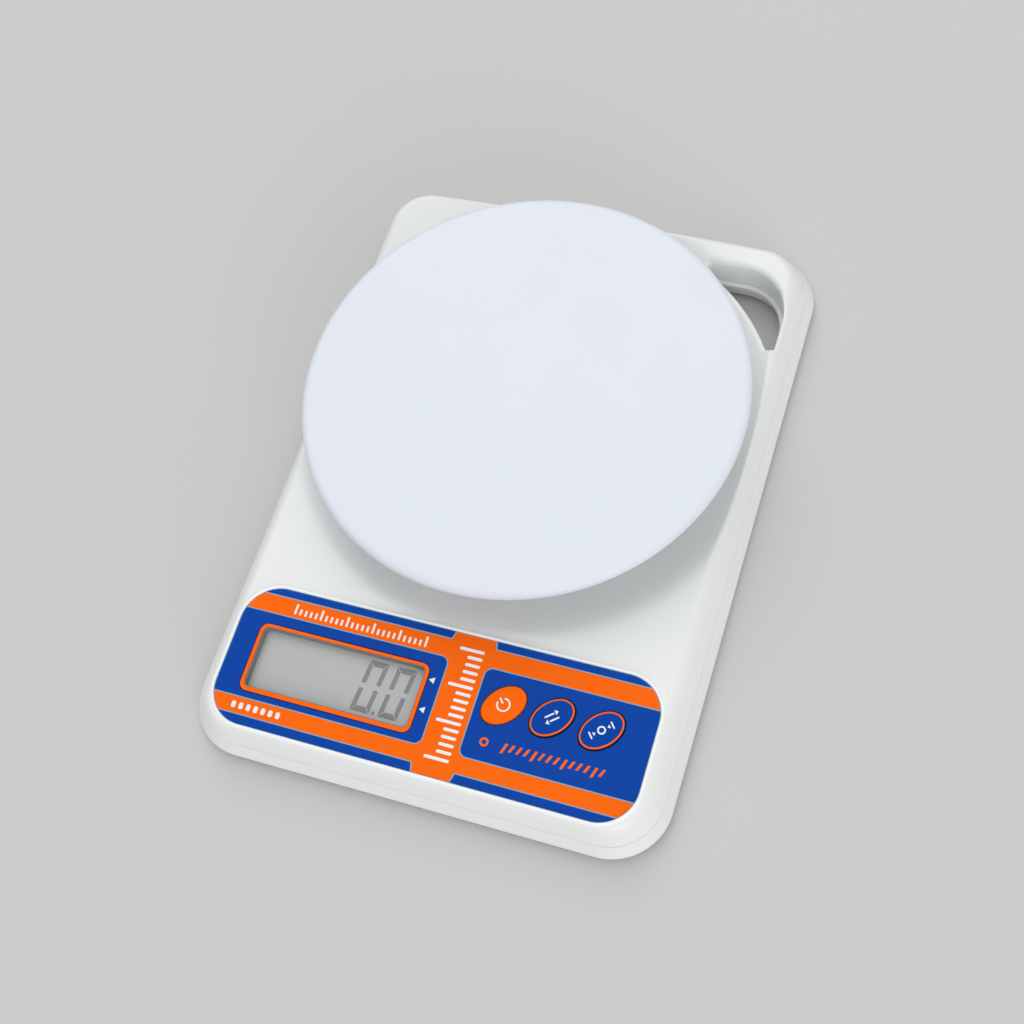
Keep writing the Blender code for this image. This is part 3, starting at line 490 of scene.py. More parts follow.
def new_group(
    name: str, inputs: dict[str, tuple[str, object]], outputs: dict[str, str]
) -> bpy.types.NodeTree:
    """Make an empty shader node group with named sockets.

    Args:
        name: Name of the group.
        inputs: For each input, its socket type and default value.
        outputs: For each output, its socket type.

    Returns:
        The new group.
    """
    group = bpy.data.node_groups.new(name, "ShaderNodeTree")
    for label, (kind, value) in inputs.items():
        socket = group.interface.new_socket(label, in_out="INPUT", socket_type=kind)
        socket.default_value = value
    for label, kind in outputs.items():
        group.interface.new_socket(label, in_out="OUTPUT", socket_type=kind)
    return group


def surface_variation_group() -> bpy.types.NodeTree:
    """Cloudy colour and gloss with a fine grain, the shared surface of every finish.

    Returns:
        The new group.
    """
    group = new_group(
        "surface_variation",
        {
            "Colour": ("NodeSocketColor", (0.8, 0.8, 0.8, 1.0)),
            "Shade": ("NodeSocketFloat", 0.03),
            "Roughness": ("NodeSocketFloat", 0.4),
            "Gloss Spread": ("NodeSocketFloat", 0.05),
            "Cloud Scale": ("NodeSocketFloat", 40.0),
            "Grain Scale": ("NodeSocketFloat", 2500.0),
        },
        {"Colour": "NodeSocketColor", "Roughness": "NodeSocketFloat", "Grain": "NodeSocketFloat"},
    )
    t = Tree(group)
    given = t.add("NodeGroupInput")
    out = t.add("NodeGroupOutput")
    place = t.add("ShaderNodeTexCoord")
    clouds = t.add("ShaderNodeTexNoise", noise_dimensions="3D")
    clouds.inputs["Detail"].default_value = 4.0
    grain = t.add("ShaderNodeTexNoise", noise_dimensions="3D")
    grain.inputs["Detail"].default_value = 2.0
    for node, scale in ((clouds, "Cloud Scale"), (grain, "Grain Scale")):
        t.link(place.outputs["Object"], node.inputs["Vector"])
        t.link(given.outputs[scale], node.inputs["Scale"])
    centred = t.maths("SUBTRACT", clouds.outputs["Fac"], 0.5)
    darker = t.maths("SUBTRACT", 1.0, t.maths("MULTIPLY", centred, given.outputs["Shade"]))
    tint = t.add("ShaderNodeVectorMath", operation="SCALE")
    t.link(given.outputs["Colour"], tint.inputs[0])
    t.link(darker, tint.inputs["Scale"])
    t.link(tint.outputs["Vector"], out.inputs["Colour"])
    spread = t.maths("MULTIPLY", centred, given.outputs["Gloss Spread"])
    t.link(t.maths("ADD", given.outputs["Roughness"], spread), out.inputs["Roughness"])
    t.link(grain.outputs["Fac"], out.inputs["Grain"])
    return group


def edge_highlight_crease_shade_group() -> bpy.types.NodeTree:
    """Painted highlight and painted shade: lighten a colour a little where edges stick out and darken it in
    corners and creases.

    Returns:
        The new group.
    """
    group = new_group(
        "edge_wear",
        {
            "Colour": ("NodeSocketColor", (0.8, 0.8, 0.8, 1.0)),
            "Worn Colour": ("NodeSocketColor", (0.9, 0.9, 0.9, 1.0)),
            "Dust Colour": ("NodeSocketColor", (0.4, 0.38, 0.34, 1.0)),
            "Wear": ("NodeSocketFloat", 0.2),
            "Dust": ("NodeSocketFloat", 0.2),
        },
        {"Colour": "NodeSocketColor"},
    )
    t = Tree(group)
    given = t.add("NodeGroupInput")
    out = t.add("NodeGroupOutput")
    shape = t.add("ShaderNodeNewGeometry")
    colour = given.outputs["Colour"]
    # Painted highlight on edges that stick out and painted shade in creases, both read from the mesh's pointiness.
    stages = ((0.52, 0.60, "Wear", "Worn Colour"), (0.48, 0.40, "Dust", "Dust Colour"))
    for low, high, strength, target in stages:
        ramp = t.add("ShaderNodeMapRange")
        ramp.inputs["From Min"].default_value = low
        ramp.inputs["From Max"].default_value = high
        t.link(shape.outputs["Pointiness"], ramp.inputs["Value"])
        amount = t.maths("MULTIPLY", ramp.outputs["Result"], given.outputs[strength])
        mix = t.add("ShaderNodeMix", data_type="RGBA")
        t.link(amount, mix.inputs["Factor"])
        t.link(colour, mix.inputs["A"])
        t.link(given.outputs[target], mix.inputs["B"])
        colour = mix.outputs["Result"]
    t.link(colour, out.inputs["Colour"])
    return group


# ------------------------------------------------------------------ finishes


@dataclass(frozen=True)
class Finish:
    """One surface: its colour, gloss, cloudiness, grain, and painted edge highlight and crease shade."""

    name: str
    colour: Colour
    roughness: float = 0.4
    metallic: float = 0.0
    shade: float = 0.04
    gloss_spread: float = 0.08
    cloud_scale: float = 40.0
    grain_scale: float = 2500.0
    grain_depth: float = 0.02 * MM
    grain_strength: float = 0.35
    # Strengths of the painted highlight on edges and the painted shade in creases.
    edge_highlight: float = 0.15
    crease_shade: float = 0.25
    coat: float = 0.0
    coat_roughness: float = 0.12
    alpha: float = 1.0
    specular: float = 0.5

    def make(self, groups: dict[str, bpy.types.NodeTree]) -> bpy.types.Material:
        """Build the material.

        Args:
            groups: The shared node groups by name.

        Returns:
            The new material.
        """
        mat = bpy.data.materials.new(self.name)
        mat.use_nodes = True
        t = Tree(mat.node_tree)
        shader = mat.node_tree.nodes["Principled BSDF"]
        values = {
            "Colour": (*self.colour, 1.0),
            "Shade": self.shade,
            "Roughness": self.roughness,
            "Gloss Spread": self.gloss_spread,
            "Cloud Scale": self.cloud_scale,
            "Grain Scale": self.grain_scale,
        }
        surface = t.group(groups["surface_variation"], values)
        # Lighter colour for the painted edge highlight, darker colour for the painted crease shade.
        values = {
            "Worn Colour": (*[min(c * 1.12 + 0.02, 1.0) for c in self.colour], 1.0),
            "Dust Colour": (*[c * 0.62 for c in self.colour], 1.0),
            "Wear": self.edge_highlight,
            "Dust": self.crease_shade,
        }
        edge_highlight_and_crease_shade = t.group(groups["edge_wear"], values)
        t.link(surface.outputs["Colour"], edge_highlight_and_crease_shade.inputs["Colour"])
        t.link(edge_highlight_and_crease_shade.outputs["Colour"], shader.inputs["Base Color"])
        t.link(surface.outputs["Roughness"], shader.inputs["Roughness"])
        bump = t.add("ShaderNodeBump")
        bump.inputs["Strength"].default_value = self.grain_strength
        bump.inputs["Distance"].default_value = self.grain_depth
        t.link(surface.outputs["Grain"], bump.inputs["Height"])
        t.link(bump.outputs["Normal"], shader.inputs["Normal"])
        shader.inputs["Metallic"].default_value = self.metallic
        shader.inputs["Coat Weight"].default_value = self.coat
        shader.inputs["Coat Roughness"].default_value = self.coat_roughness
        shader.inputs["Alpha"].default_value = self.alpha
        shader.inputs["Specular IOR Level"].default_value = self.specular
        return mat


FINISHES = (
    Finish("shell_white", (0.83, 0.85, 0.832), 0.38, grain_depth=0.012 * MM),
    Finish("pan_white", (0.755, 0.795, 0.86), 0.42, shade=0.02, grain_depth=0.006 * MM, edge_highlight=0.05),
    # Painted highlight: the bead is the cover's own plastic, coloured lighter for the bright line that light draws
    # along it.
    Finish("bead_white", (0.93, 0.94, 0.93), 0.34, shade=0.02, grain_depth=0.006 * MM, crease_shade=0.05),
    Finish(
        "foot_rubber", (0.045, 0.045, 0.05), 0.85, grain_scale=1400.0, grain_depth=0.05 * MM,
        specular=0.2,
    ),
    Finish(
        "screw_steel", (0.62, 0.62, 0.64), 0.32, metallic=1.0, cloud_scale=300.0, gloss_spread=0.2
    ),
    Finish(
        "cell_aluminium", (0.78, 0.79, 0.81), 0.36, metallic=1.0, cloud_scale=120.0,
        gloss_spread=0.2,
    ),
    Finish(
        "frame_steel", (0.60, 0.61, 0.63), 0.38, metallic=1.0, cloud_scale=150.0, gloss_spread=0.25
    ),
    Finish("board_green", (0.02, 0.20, 0.07), 0.42, shade=0.15, cloud_scale=500.0, coat=0.4),
    Finish("resin_black", (0.016, 0.016, 0.017), 0.30, gloss_spread=0.15),
    Finish(
        "display_grey", (0.43, 0.433, 0.415), 0.28, shade=0.10, cloud_scale=25.0,
        grain_depth=0.001 * MM,
    ),
    Finish("display_ink", (0.085, 0.088, 0.095), 0.35, grain_depth=0.001 * MM),
    # Painted shade: dark grey for the liner on the window's inner wall, which stands for the shade in the recess.
    Finish("window_mask", (0.20, 0.20, 0.195), 0.5),
    Finish(
        "window_clear", (0.93, 0.95, 0.95), 0.06, alpha=0.10, grain_depth=0.001 * MM, edge_highlight=0.0,
        crease_shade=0.0,
    ),
    Finish("label_film", (0.16, 0.42, 0.62), 0.30, grain_depth=0.004 * MM, specular=0.06),
    Finish(
        "label_blue", (0.0, 0.055, 0.36), 0.42, shade=0.10, grain_depth=0.004 * MM, specular=0.06
    ),
    Finish(
        "label_orange", (1.0, 0.14, 0.0), 0.42, shade=0.06, grain_depth=0.004 * MM, specular=0.06
    ),
    Finish("label_white", (0.85, 0.86, 0.86), 0.35, grain_depth=0.004 * MM, specular=0.06),
    Finish("label_dark", (0.008, 0.012, 0.045), 0.35, grain_depth=0.004 * MM, specular=0.06),
    Finish("key_blue", (0.0, 0.055, 0.36), 0.36, shade=0.10, grain_depth=0.006 * MM, specular=0.06),
    Finish("key_orange", (1.0, 0.14, 0.0), 0.36, shade=0.08, grain_depth=0.006 * MM, specular=0.06),
    Finish("battery_wrap", (0.04, 0.20, 0.10), 0.25, shade=0.15, coat=0.5),
    Finish("contact_nickel", (0.75, 0.72, 0.66), 0.24, metallic=1.0, gloss_spread=0.15),
    Finish("wire_red", (0.55, 0.02, 0.02), 0.42),
    Finish("wire_black", (0.02, 0.02, 0.02), 0.42),
    Finish("silicone_white", (0.75, 0.75, 0.72), 0.55, shade=0.1),
    Finish(
        "rubber_grey", (0.20, 0.20, 0.21), 0.75, grain_scale=1800.0, grain_depth=0.03 * MM,
        specular=0.3,
    ),
)


@dataclass
class Workshop:
    """Holds the finishes and sets finished pieces into the scene."""

    materials: dict[str, bpy.types.Material] = field(default_factory=dict)

    def mix_finishes(self) -> None:
        """Build the shared node groups and every finish."""
        groups = {"surface_variation": surface_variation_group(), "edge_wear": edge_highlight_crease_shade_group()}
        for finish in FINISHES:
            self.materials[finish.name] = finish.make(groups)

    def place(
        self,
        name: str,
        mesh: bpy.types.Mesh,
        finishes: Sequence[str],
        body: Body | None,
        replaced: Sequence[str] = (),
        matrix: Matrix | None = None,
        crease: float = 32.0,
    ) -> bpy.types.Object:
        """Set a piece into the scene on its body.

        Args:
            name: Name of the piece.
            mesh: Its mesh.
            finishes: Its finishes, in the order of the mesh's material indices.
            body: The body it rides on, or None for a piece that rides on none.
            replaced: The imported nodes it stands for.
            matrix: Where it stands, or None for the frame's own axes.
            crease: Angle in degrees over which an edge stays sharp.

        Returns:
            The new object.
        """
        mesh.name = name
        for finish in finishes:
            mesh.materials.append(self.materials[finish])
        mesh.shade_smooth()
        mesh.set_sharp_from_angle(angle=math.radians(crease))
        obj = bpy.data.objects.new(name, mesh)
        bpy.context.scene.collection.objects.link(obj)
        if matrix is not None:
            obj.matrix_world = matrix
        weighted = obj.modifiers.new("even_shading", "WEIGHTED_NORMAL")
        weighted.keep_sharp = True
        if body:
            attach(obj, body.value)
        if replaced:
            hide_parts(*replaced)
        LOG.info("%s on %s: %d faces", name, body.value if body else "two", len(mesh.polygons))
        return obj

    def dress_carried(self) -> None:
        """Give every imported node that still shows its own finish."""
        for part in frame["record"]["subparts"]:
            node = frame["nodes"][part["node"]]
            node.data.materials.clear()
            node.data.materials.append(self.materials[part["material_slot"]])
            if not node.hide_render:
                LOG.info("%s carried over as %s", node.name, part["material_slot"])


# ------------------------------------------------------------------ case


@dataclass(frozen=True)
class CaseOutline:
    """Plan outlines of the case, shared by the cover and the base."""

    half_width: float
    half_length: float
    pan_y: float
    corner_radius: float = 20 * MM
    rear_bow: float = 1.3 * MM
    shoulder_start: float = 2.5 * MM
    shoulder_end: float = 9.6 * MM
    front_shoulder: float = 0.63
    corner_steps: int = 14
    side_steps: int = 44
    end_steps: int = 36
    opening_arc: float = 81.1 * MM
    opening_shift: float = 4.0 * MM
    opening_rear: float = 98 * MM
    opening_side: float = 76 * MM
    opening_corner: float = 18 * MM
    opening_tip: float = 1.75 * MM

    @classmethod
    def read(cls) -> "CaseOutline":
        """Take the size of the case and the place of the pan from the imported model."""
        low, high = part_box("base_shell")
        return cls((high.x - low.x) / 2, (high.y - low.y) / 2, plan_middle("pan")[1])

    def ring(self, inset: float) -> list[Point]:
        """Outline of the case, moved inwards but less so at the front.

        Args:
            inset: How far inwards.

        Returns:
            The points, counterclockwise from the right side.
        """
        half_x = self.half_width - inset
        radius = self.corner_radius - inset
        front = inset - max(inset - self.shoulder_start, 0) * (1 - self.front_shoulder)
        half_y = {1: self.half_length - inset, -1: self.half_length - front}
        arcs = []
        for i, (sx, sy) in enumerate(((1, 1), (-1, 1), (-1, -1), (1, -1))):
            centre = (sx * (half_x - radius), sy * (half_y[sy] - radius))
            start = i * math.pi / 2
            arcs.append(arc(centre, radius, start, (i + 1) * math.pi / 2, self.corner_steps))
        points: list[Point] = []
        for i, corner in enumerate(arcs):
            points += corner
            start, end = corner[-1], arcs[(i + 1) % 4][0]
            steps = self.end_steps if i % 2 == 0 else self.side_steps
            run = (end[0] - start[0], end[1] - start[1])
            for k in range(1, steps):
                points.append((start[0] + run[0] * k / steps, start[1] + run[1] * k / steps))
        return [(x, y - (self.rear_bow * (x / half_x) ** 2 if y > 0 else 0.0)) for x, y in points]

    def opening(self, grow: float) -> list[Point]:
        """Outline of the hanging opening, moved outwards all round.

        Args:
            grow: How far outwards, or inwards if negative.

        Returns:
            The points, counterclockwise.
        """
        radius = self.opening_arc - grow
        side, rear = self.opening_side + grow, self.opening_rear + grow
        corner, tip = self.opening_corner + grow, self.opening_tip + grow
        middle = Vector((self.opening_shift, self.pan_y))
        across, reach = side - tip - middle.x, rear - tip - middle.y
        right = Vector((across, math.sqrt((radius + tip) ** 2 - across**2)))
        left = Vector((math.sqrt((radius + tip) ** 2 - reach**2), reach))
        right_angle, left_angle = math.atan2(right.y, right.x), math.atan2(left.y, left.x)
        points = arc(middle + right, tip, right_angle - math.pi, 0, 10)
        points += [(side, (middle.y + right.y + rear - corner) / 2)]
        points += arc((side - corner, rear - corner), corner, 0, math.pi / 2, 18)
        points += arc(middle + left, tip, math.pi / 2, left_angle + math.pi, 10)
        return points + arc(middle, radius, left_angle, right_angle, 24)[1:-1]


@dataclass(frozen=True)
class Console:
    """The tilted console plane, with u to the right, v up the plane and n out of it."""

    centre_y: float
    centre_z: float
    slope: float
    label_size: Point
    label_radius: float = 13 * MM

    @classmethod
    def read(cls) -> "Console":
        """Take the plane from the keys' direction of travel and the label's place.

        Returns:
            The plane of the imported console.
        """
        joint = next(j for j in frame["joints"] if j["child"] == "key_unit")
        slope = -joint["axis"][1] / joint["axis"][2]
        low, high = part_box("label_overlay")
        centre_y = (low.y + high.y) / 2
        film_top = 0.2 * MM
        centre_z = high.z + film_top - slope * (high.y - centre_y)
        return cls(centre_y, centre_z, slope, (high.x - low.x, (high.y - low.y)))

    @property
    def matrix(self) -> Matrix:
        """Transform from console coordinates to the frame."""
        turn = Matrix.Rotation(math.atan(self.slope), 4, "X")
        return Matrix.Translation((0, self.centre_y, self.centre_z)) @ turn

    def label_outline(self, grow: float = 0.0) -> list[Point]:
        """Outline of the label, in console coordinates."""
        size = (self.label_size[0] + 2 * grow, self.label_size[1] + 2 * grow)
        return rounded_rectangle(size, self.label_radius + grow, steps=18)


@dataclass
class Cover:
    """The upper shell: shoulders, deck, dish, turret, label bed and hanging opening."""

    workshop: Workshop
    outline: CaseOutline
    console: Console
    edge_height: float = 9.4 * MM
    deck_mid: float = 19.1 * MM
    dish_floor: float = 15.4 * MM
    dish_flat: float = 68 * MM
    dish_rim: float = 82 * MM
    dish_rise: float = 2.7 * MM
    blend: float = 0.9 * MM
    turret_radius: float = 55 * MM
    turret_top: float = 28.5 * MM
    turret_edge: float = 2.5 * MM
    turret_foot: float = 2.0 * MM
    turret_flat: float = 6.0 * MM
    wall_lean: float = 0.467
    wall: float = 2.2 * MM
    shoulder_steps: int = 14
    deck_rings: int = 58
    label_bed: float = 0.8 * MM
    bed_gap: float = 0.3 * MM
    bead: float = 1.25 * MM
    bead_height: float = 0.46 * MM
    dip_depth: float = 0.3 * MM
    dip_place: float = 2.8 * MM
    dip_width: float = 1.5 * MM
    lip_radius: float = 2.0 * MM
    lip_flare: float = 0.8 * MM
    lip_steps: int = 8
    opening_wall: float = 2.0 * MM
    post_hole: float = 5.2 * MM
    recess_depth: float = 4.0 * MM
    hollow_inset: float = 3.6 * MM
    hollow_heights: Band = (7.4 * MM, 10.9 * MM)
    tool_low: float = 7.0 * MM
    tool_high: float = 40.0 * MM

    def deck(self, y: float) -> float:
        """Height of the sloping deck."""
        return self.deck_mid + self.console.slope * y

    def dish(self, x: float, y: float) -> float:
        """Height of the dish."""
        reach = max(math.hypot(x, y - self.outline.pan_y) - self.dish_flat, 0)
        return self.dish_floor + self.dish_rise * (reach / (self.dish_rim - self.dish_flat)) ** 2

    def eased(self, x: float, y: float, height: float) -> float:
        """The lower of a height and the dish, with a soft crease between them.

        Args:
            x: Place across the body.
            y: Place along the body.
            height: Height of the deck or the shoulder there.

        Returns:
            The height of the outside.
        """
        dish = self.dish(x, y)
        overlap = max(self.blend - abs(height - dish), 0) / self.blend
        return min(height, dish) - overlap**2 * self.blend / 4

    def shoulder(self) -> list[Band]:
        """Inset and height pairs of the curve that rounds the wall over into the deck.

        Returns:
            The pairs, from the wall to the deck.
        """
        start = (self.outline.shoulder_start, self.edge_height)
        bend = (start[0] + self.wall_lean * (self.deck_mid - self.edge_height), self.deck_mid)
        end = (self.outline.shoulder_end, self.deck_mid)
        pairs: list[Band] = []
        for i in range(self.shoulder_steps + 1):
            t = i / self.shoulder_steps
            a, b, c = (1 - t) ** 2, 2 * t * (1 - t), t * t
            inset = a * start[0] + b * bend[0] + c * end[0]
            pairs.append((inset, a * start[1] + b * bend[1] + c * end[1]))
        return pairs

    def height(self, x: float, y: float) -> float:
        """Height of the outside, away from the outer wall, with a shallow dip round the label's bead.

        Args:
            x: Place across the body.
            y: Place along the body.

        Returns:
            The height.
        """
        away = rectangle_distance(
            x, y, self.console.label_size, self.console.label_radius, (0.0, self.console.centre_y)
        )
        dip = self.dip_depth * math.exp(-(((away - self.dip_place) / self.dip_width) ** 2))
        return self.eased(x, y, self.deck(y) - dip)

    def skin(self, depth: float) -> list[list[Sequence[float]]]:
        """Rings of the outside or, at some depth, of the hollow under it.

        Args:
            depth: How far under the outside, 0 for the outside itself.

        Returns:
            The rings from the lower edge to the middle of the turret.
        """
        rings: list[list[Sequence[float]]] = []
        if depth:
            foot = self.outline.ring(self.hollow_inset)
            rings += [[(x, y, z) for x, y in foot] for z in self.hollow_heights]
        else:
            for inset, z in ((0.3 * MM, 0.0), (0.08 * MM, 0.1 * MM)):
                shape = self.outline.ring(self.outline.shoulder_start + inset)
                rings.append([(x, y, self.edge_height + z) for x, y in shape])
        base = self.edge_height + (1.5 * MM if depth else 0.25 * MM)
        for inset, z in self.shoulder():
            ring = []
            for x, y in self.outline.ring(inset + depth):
                part = (z - self.edge_height) / (self.deck_mid - self.edge_height)
                nominal = base + (self.deck(y) - depth - base) * part
                ring.append((x, y, max(self.eased(x, y, nominal + depth) - depth, base)))
            rings.append(ring)
        last = rings[-1]
        inner = self.turret_radius + (self.turret_foot if not depth else 0.4 * MM - depth)
        steps = 14 if depth else self.deck_rings
        angles = [math.atan2(p[1] - self.outline.pan_y, p[0]) for p in last]
        for k in range(1, steps + 1):
            t = k / steps
            ring = []
            for point, angle in zip(last, angles):
                goal = (inner * math.cos(angle), self.outline.pan_y + inner * math.sin(angle))
                x, y = point[0] + (goal[0] - point[0]) * t, point[1] + (goal[1] - point[1]) * t
                ring.append((x, y, self.height(x, y) - depth))
            rings.append(ring)
        pan_y = self.outline.pan_y
        for radius, z in self.turret(depth):
            rings.append([(radius * math.cos(a), pan_y + radius * math.sin(a), z) for a in angles])
        return rings

    def turret(self, depth: float) -> list[Band]:
        """Radius and height pairs of the turret's wall, from its foot to its flat top.

        Args:
            depth: How far under the outside, 0 for the outside itself.

        Returns:
            The pairs.
        """
        radius, top = self.turret_radius - depth, self.turret_top - depth
        pairs: list[Band] = []
        if not depth:
            for i in range(1, 5):
                a = math.pi / 2 * i / 4
                foot = self.turret_foot
                z = self.dish_floor + foot * (1 - math.cos(a))
                pairs.append((radius + foot * (1 - math.sin(a)), z))
        pairs += round_over(radius, top, self.turret_edge, 5)
        return [*pairs, (radius - self.turret_flat, top)]

    def opening_tool(self) -> bmesh.types.BMesh:
        """Cutter for the hanging opening, whose upper edge rolls over as the outside falls.

        Returns:
            The closed cutter.
        """
        steps = self.lip_steps
        rings = [[(x, y, self.tool_low) for x, y in self.outline.opening(0.0)]]
        for i in range(steps + 1):
            a = math.pi / 2 * i / steps
            shape = self.outline.opening(self.lip_radius * (1 - math.cos(a)))
            drop = self.lip_radius * (1 - math.sin(a))
            tops = [min(self.height(x, y), self.rim_height(x, y)) for x, y in shape]
            rings.append([(x, y, top - drop) for (x, y), top in zip(shape, tops)])
        shape = self.outline.opening(self.lip_radius + self.lip_flare)
        rings.append([(x, y, self.tool_high) for x, y in shape])
        return loft(rings)

    def rim_height(self, x: float, y: float) -> float:
        """Height of the shoulder over a point near the right or rear edge.

        Args:
            x: Place across the body.
            y: Place along the body.

        Returns:
            The height.
        """
        case = self.outline
        bowed = y + (case.rear_bow * (x / case.half_width) ** 2 if y > 0 else 0.0)
        size = (2 * case.half_width, 2 * case.half_length)
        inset = -rectangle_distance(x, bowed, size, case.corner_radius, (0.0, 0.0))
        pairs = self.shoulder()
        for (s0, z0), (s1, z1) in zip(pairs, pairs[1:]):
            if s0 <= inset <= s1:
                z = z0 + (z1 - z0) * (inset - s0) / (s1 - s0)
                part = (z - self.edge_height) / (self.deck_mid - self.edge_height)
                return self.edge_height + (self.deck(y) - self.edge_height) * part
        return self.deck(y)

    def label_bead(self) -> bmesh.types.BMesh:
        """The raised bead round the label, rooted in the deck.

        Returns:
            The closed mesh.
        """
        profile = [
            (0.1 * MM, -1.7 * MM),
            (0.1 * MM, 0.12 * MM),
            (0.3 * MM, 0.37 * MM),
            (0.62 * MM, self.bead_height),
            (0.95 * MM, 0.37 * MM),
            (self.bead, 0.08 * MM),
            (1.55 * MM, -0.55 * MM),
            (1.8 * MM, -1.7 * MM),
        ]
        turn = self.console.matrix
        columns = []
        for grow, n in profile:
            columns.append([turn @ Vector((x, y, n)) for x, y in self.console.label_outline(grow)])
        return closed_sweep([list(section) for section in zip(*columns)])

    def sunk(self, shape: Sequence[Point], depth: float) -> Tool:
        """A step that sinks an outline straight into the console."""
        return (Cut.REMOVE, moved(prism(shape, -depth, self.recess_depth), self.console.matrix))

    def build(self, window: Sequence[Point], wells: Sequence[Sequence[Point]]) -> None:
        """Build the cover and set it in place.

        Args:
            window: Outline of the display window, in console coordinates.
            wells: Outlines of the key wells, in console coordinates.
        """
        keep = prism(self.outline.opening(self.opening_wall), 0, self.tool_high)
        hollow = carved(to_mesh(loft(self.skin(self.wall)), "hollow"), [(Cut.REMOVE, keep)])
        tools = [(Cut.REMOVE, combined([(hollow, None)])), (Cut.REMOVE, self.opening_tool())]
        tools.append(self.sunk(self.console.label_outline(self.bed_gap), self.label_bed))
        tools += [self.sunk(shape, self.recess_depth) for shape in (window, *wells)]
        for post in POSTS:
            hole = circle(self.post_hole, 40, plan_middle(post))
            tools.append((Cut.REMOVE, prism(hole, 22 * MM, 32 * MM)))
        shell = carved(to_mesh(loft(self.skin(0.0)), "cover"), tools)
        # The bead takes the lighter finish that paints its highlight.
        mesh = to_mesh(combined([(shell, 0), (to_mesh(self.label_bead(), "bead"), 1)]), "cover")
        self.workshop.place("cover", mesh, ["shell_white", "bead_white"], Body.HOUSING, ["top_shell"])


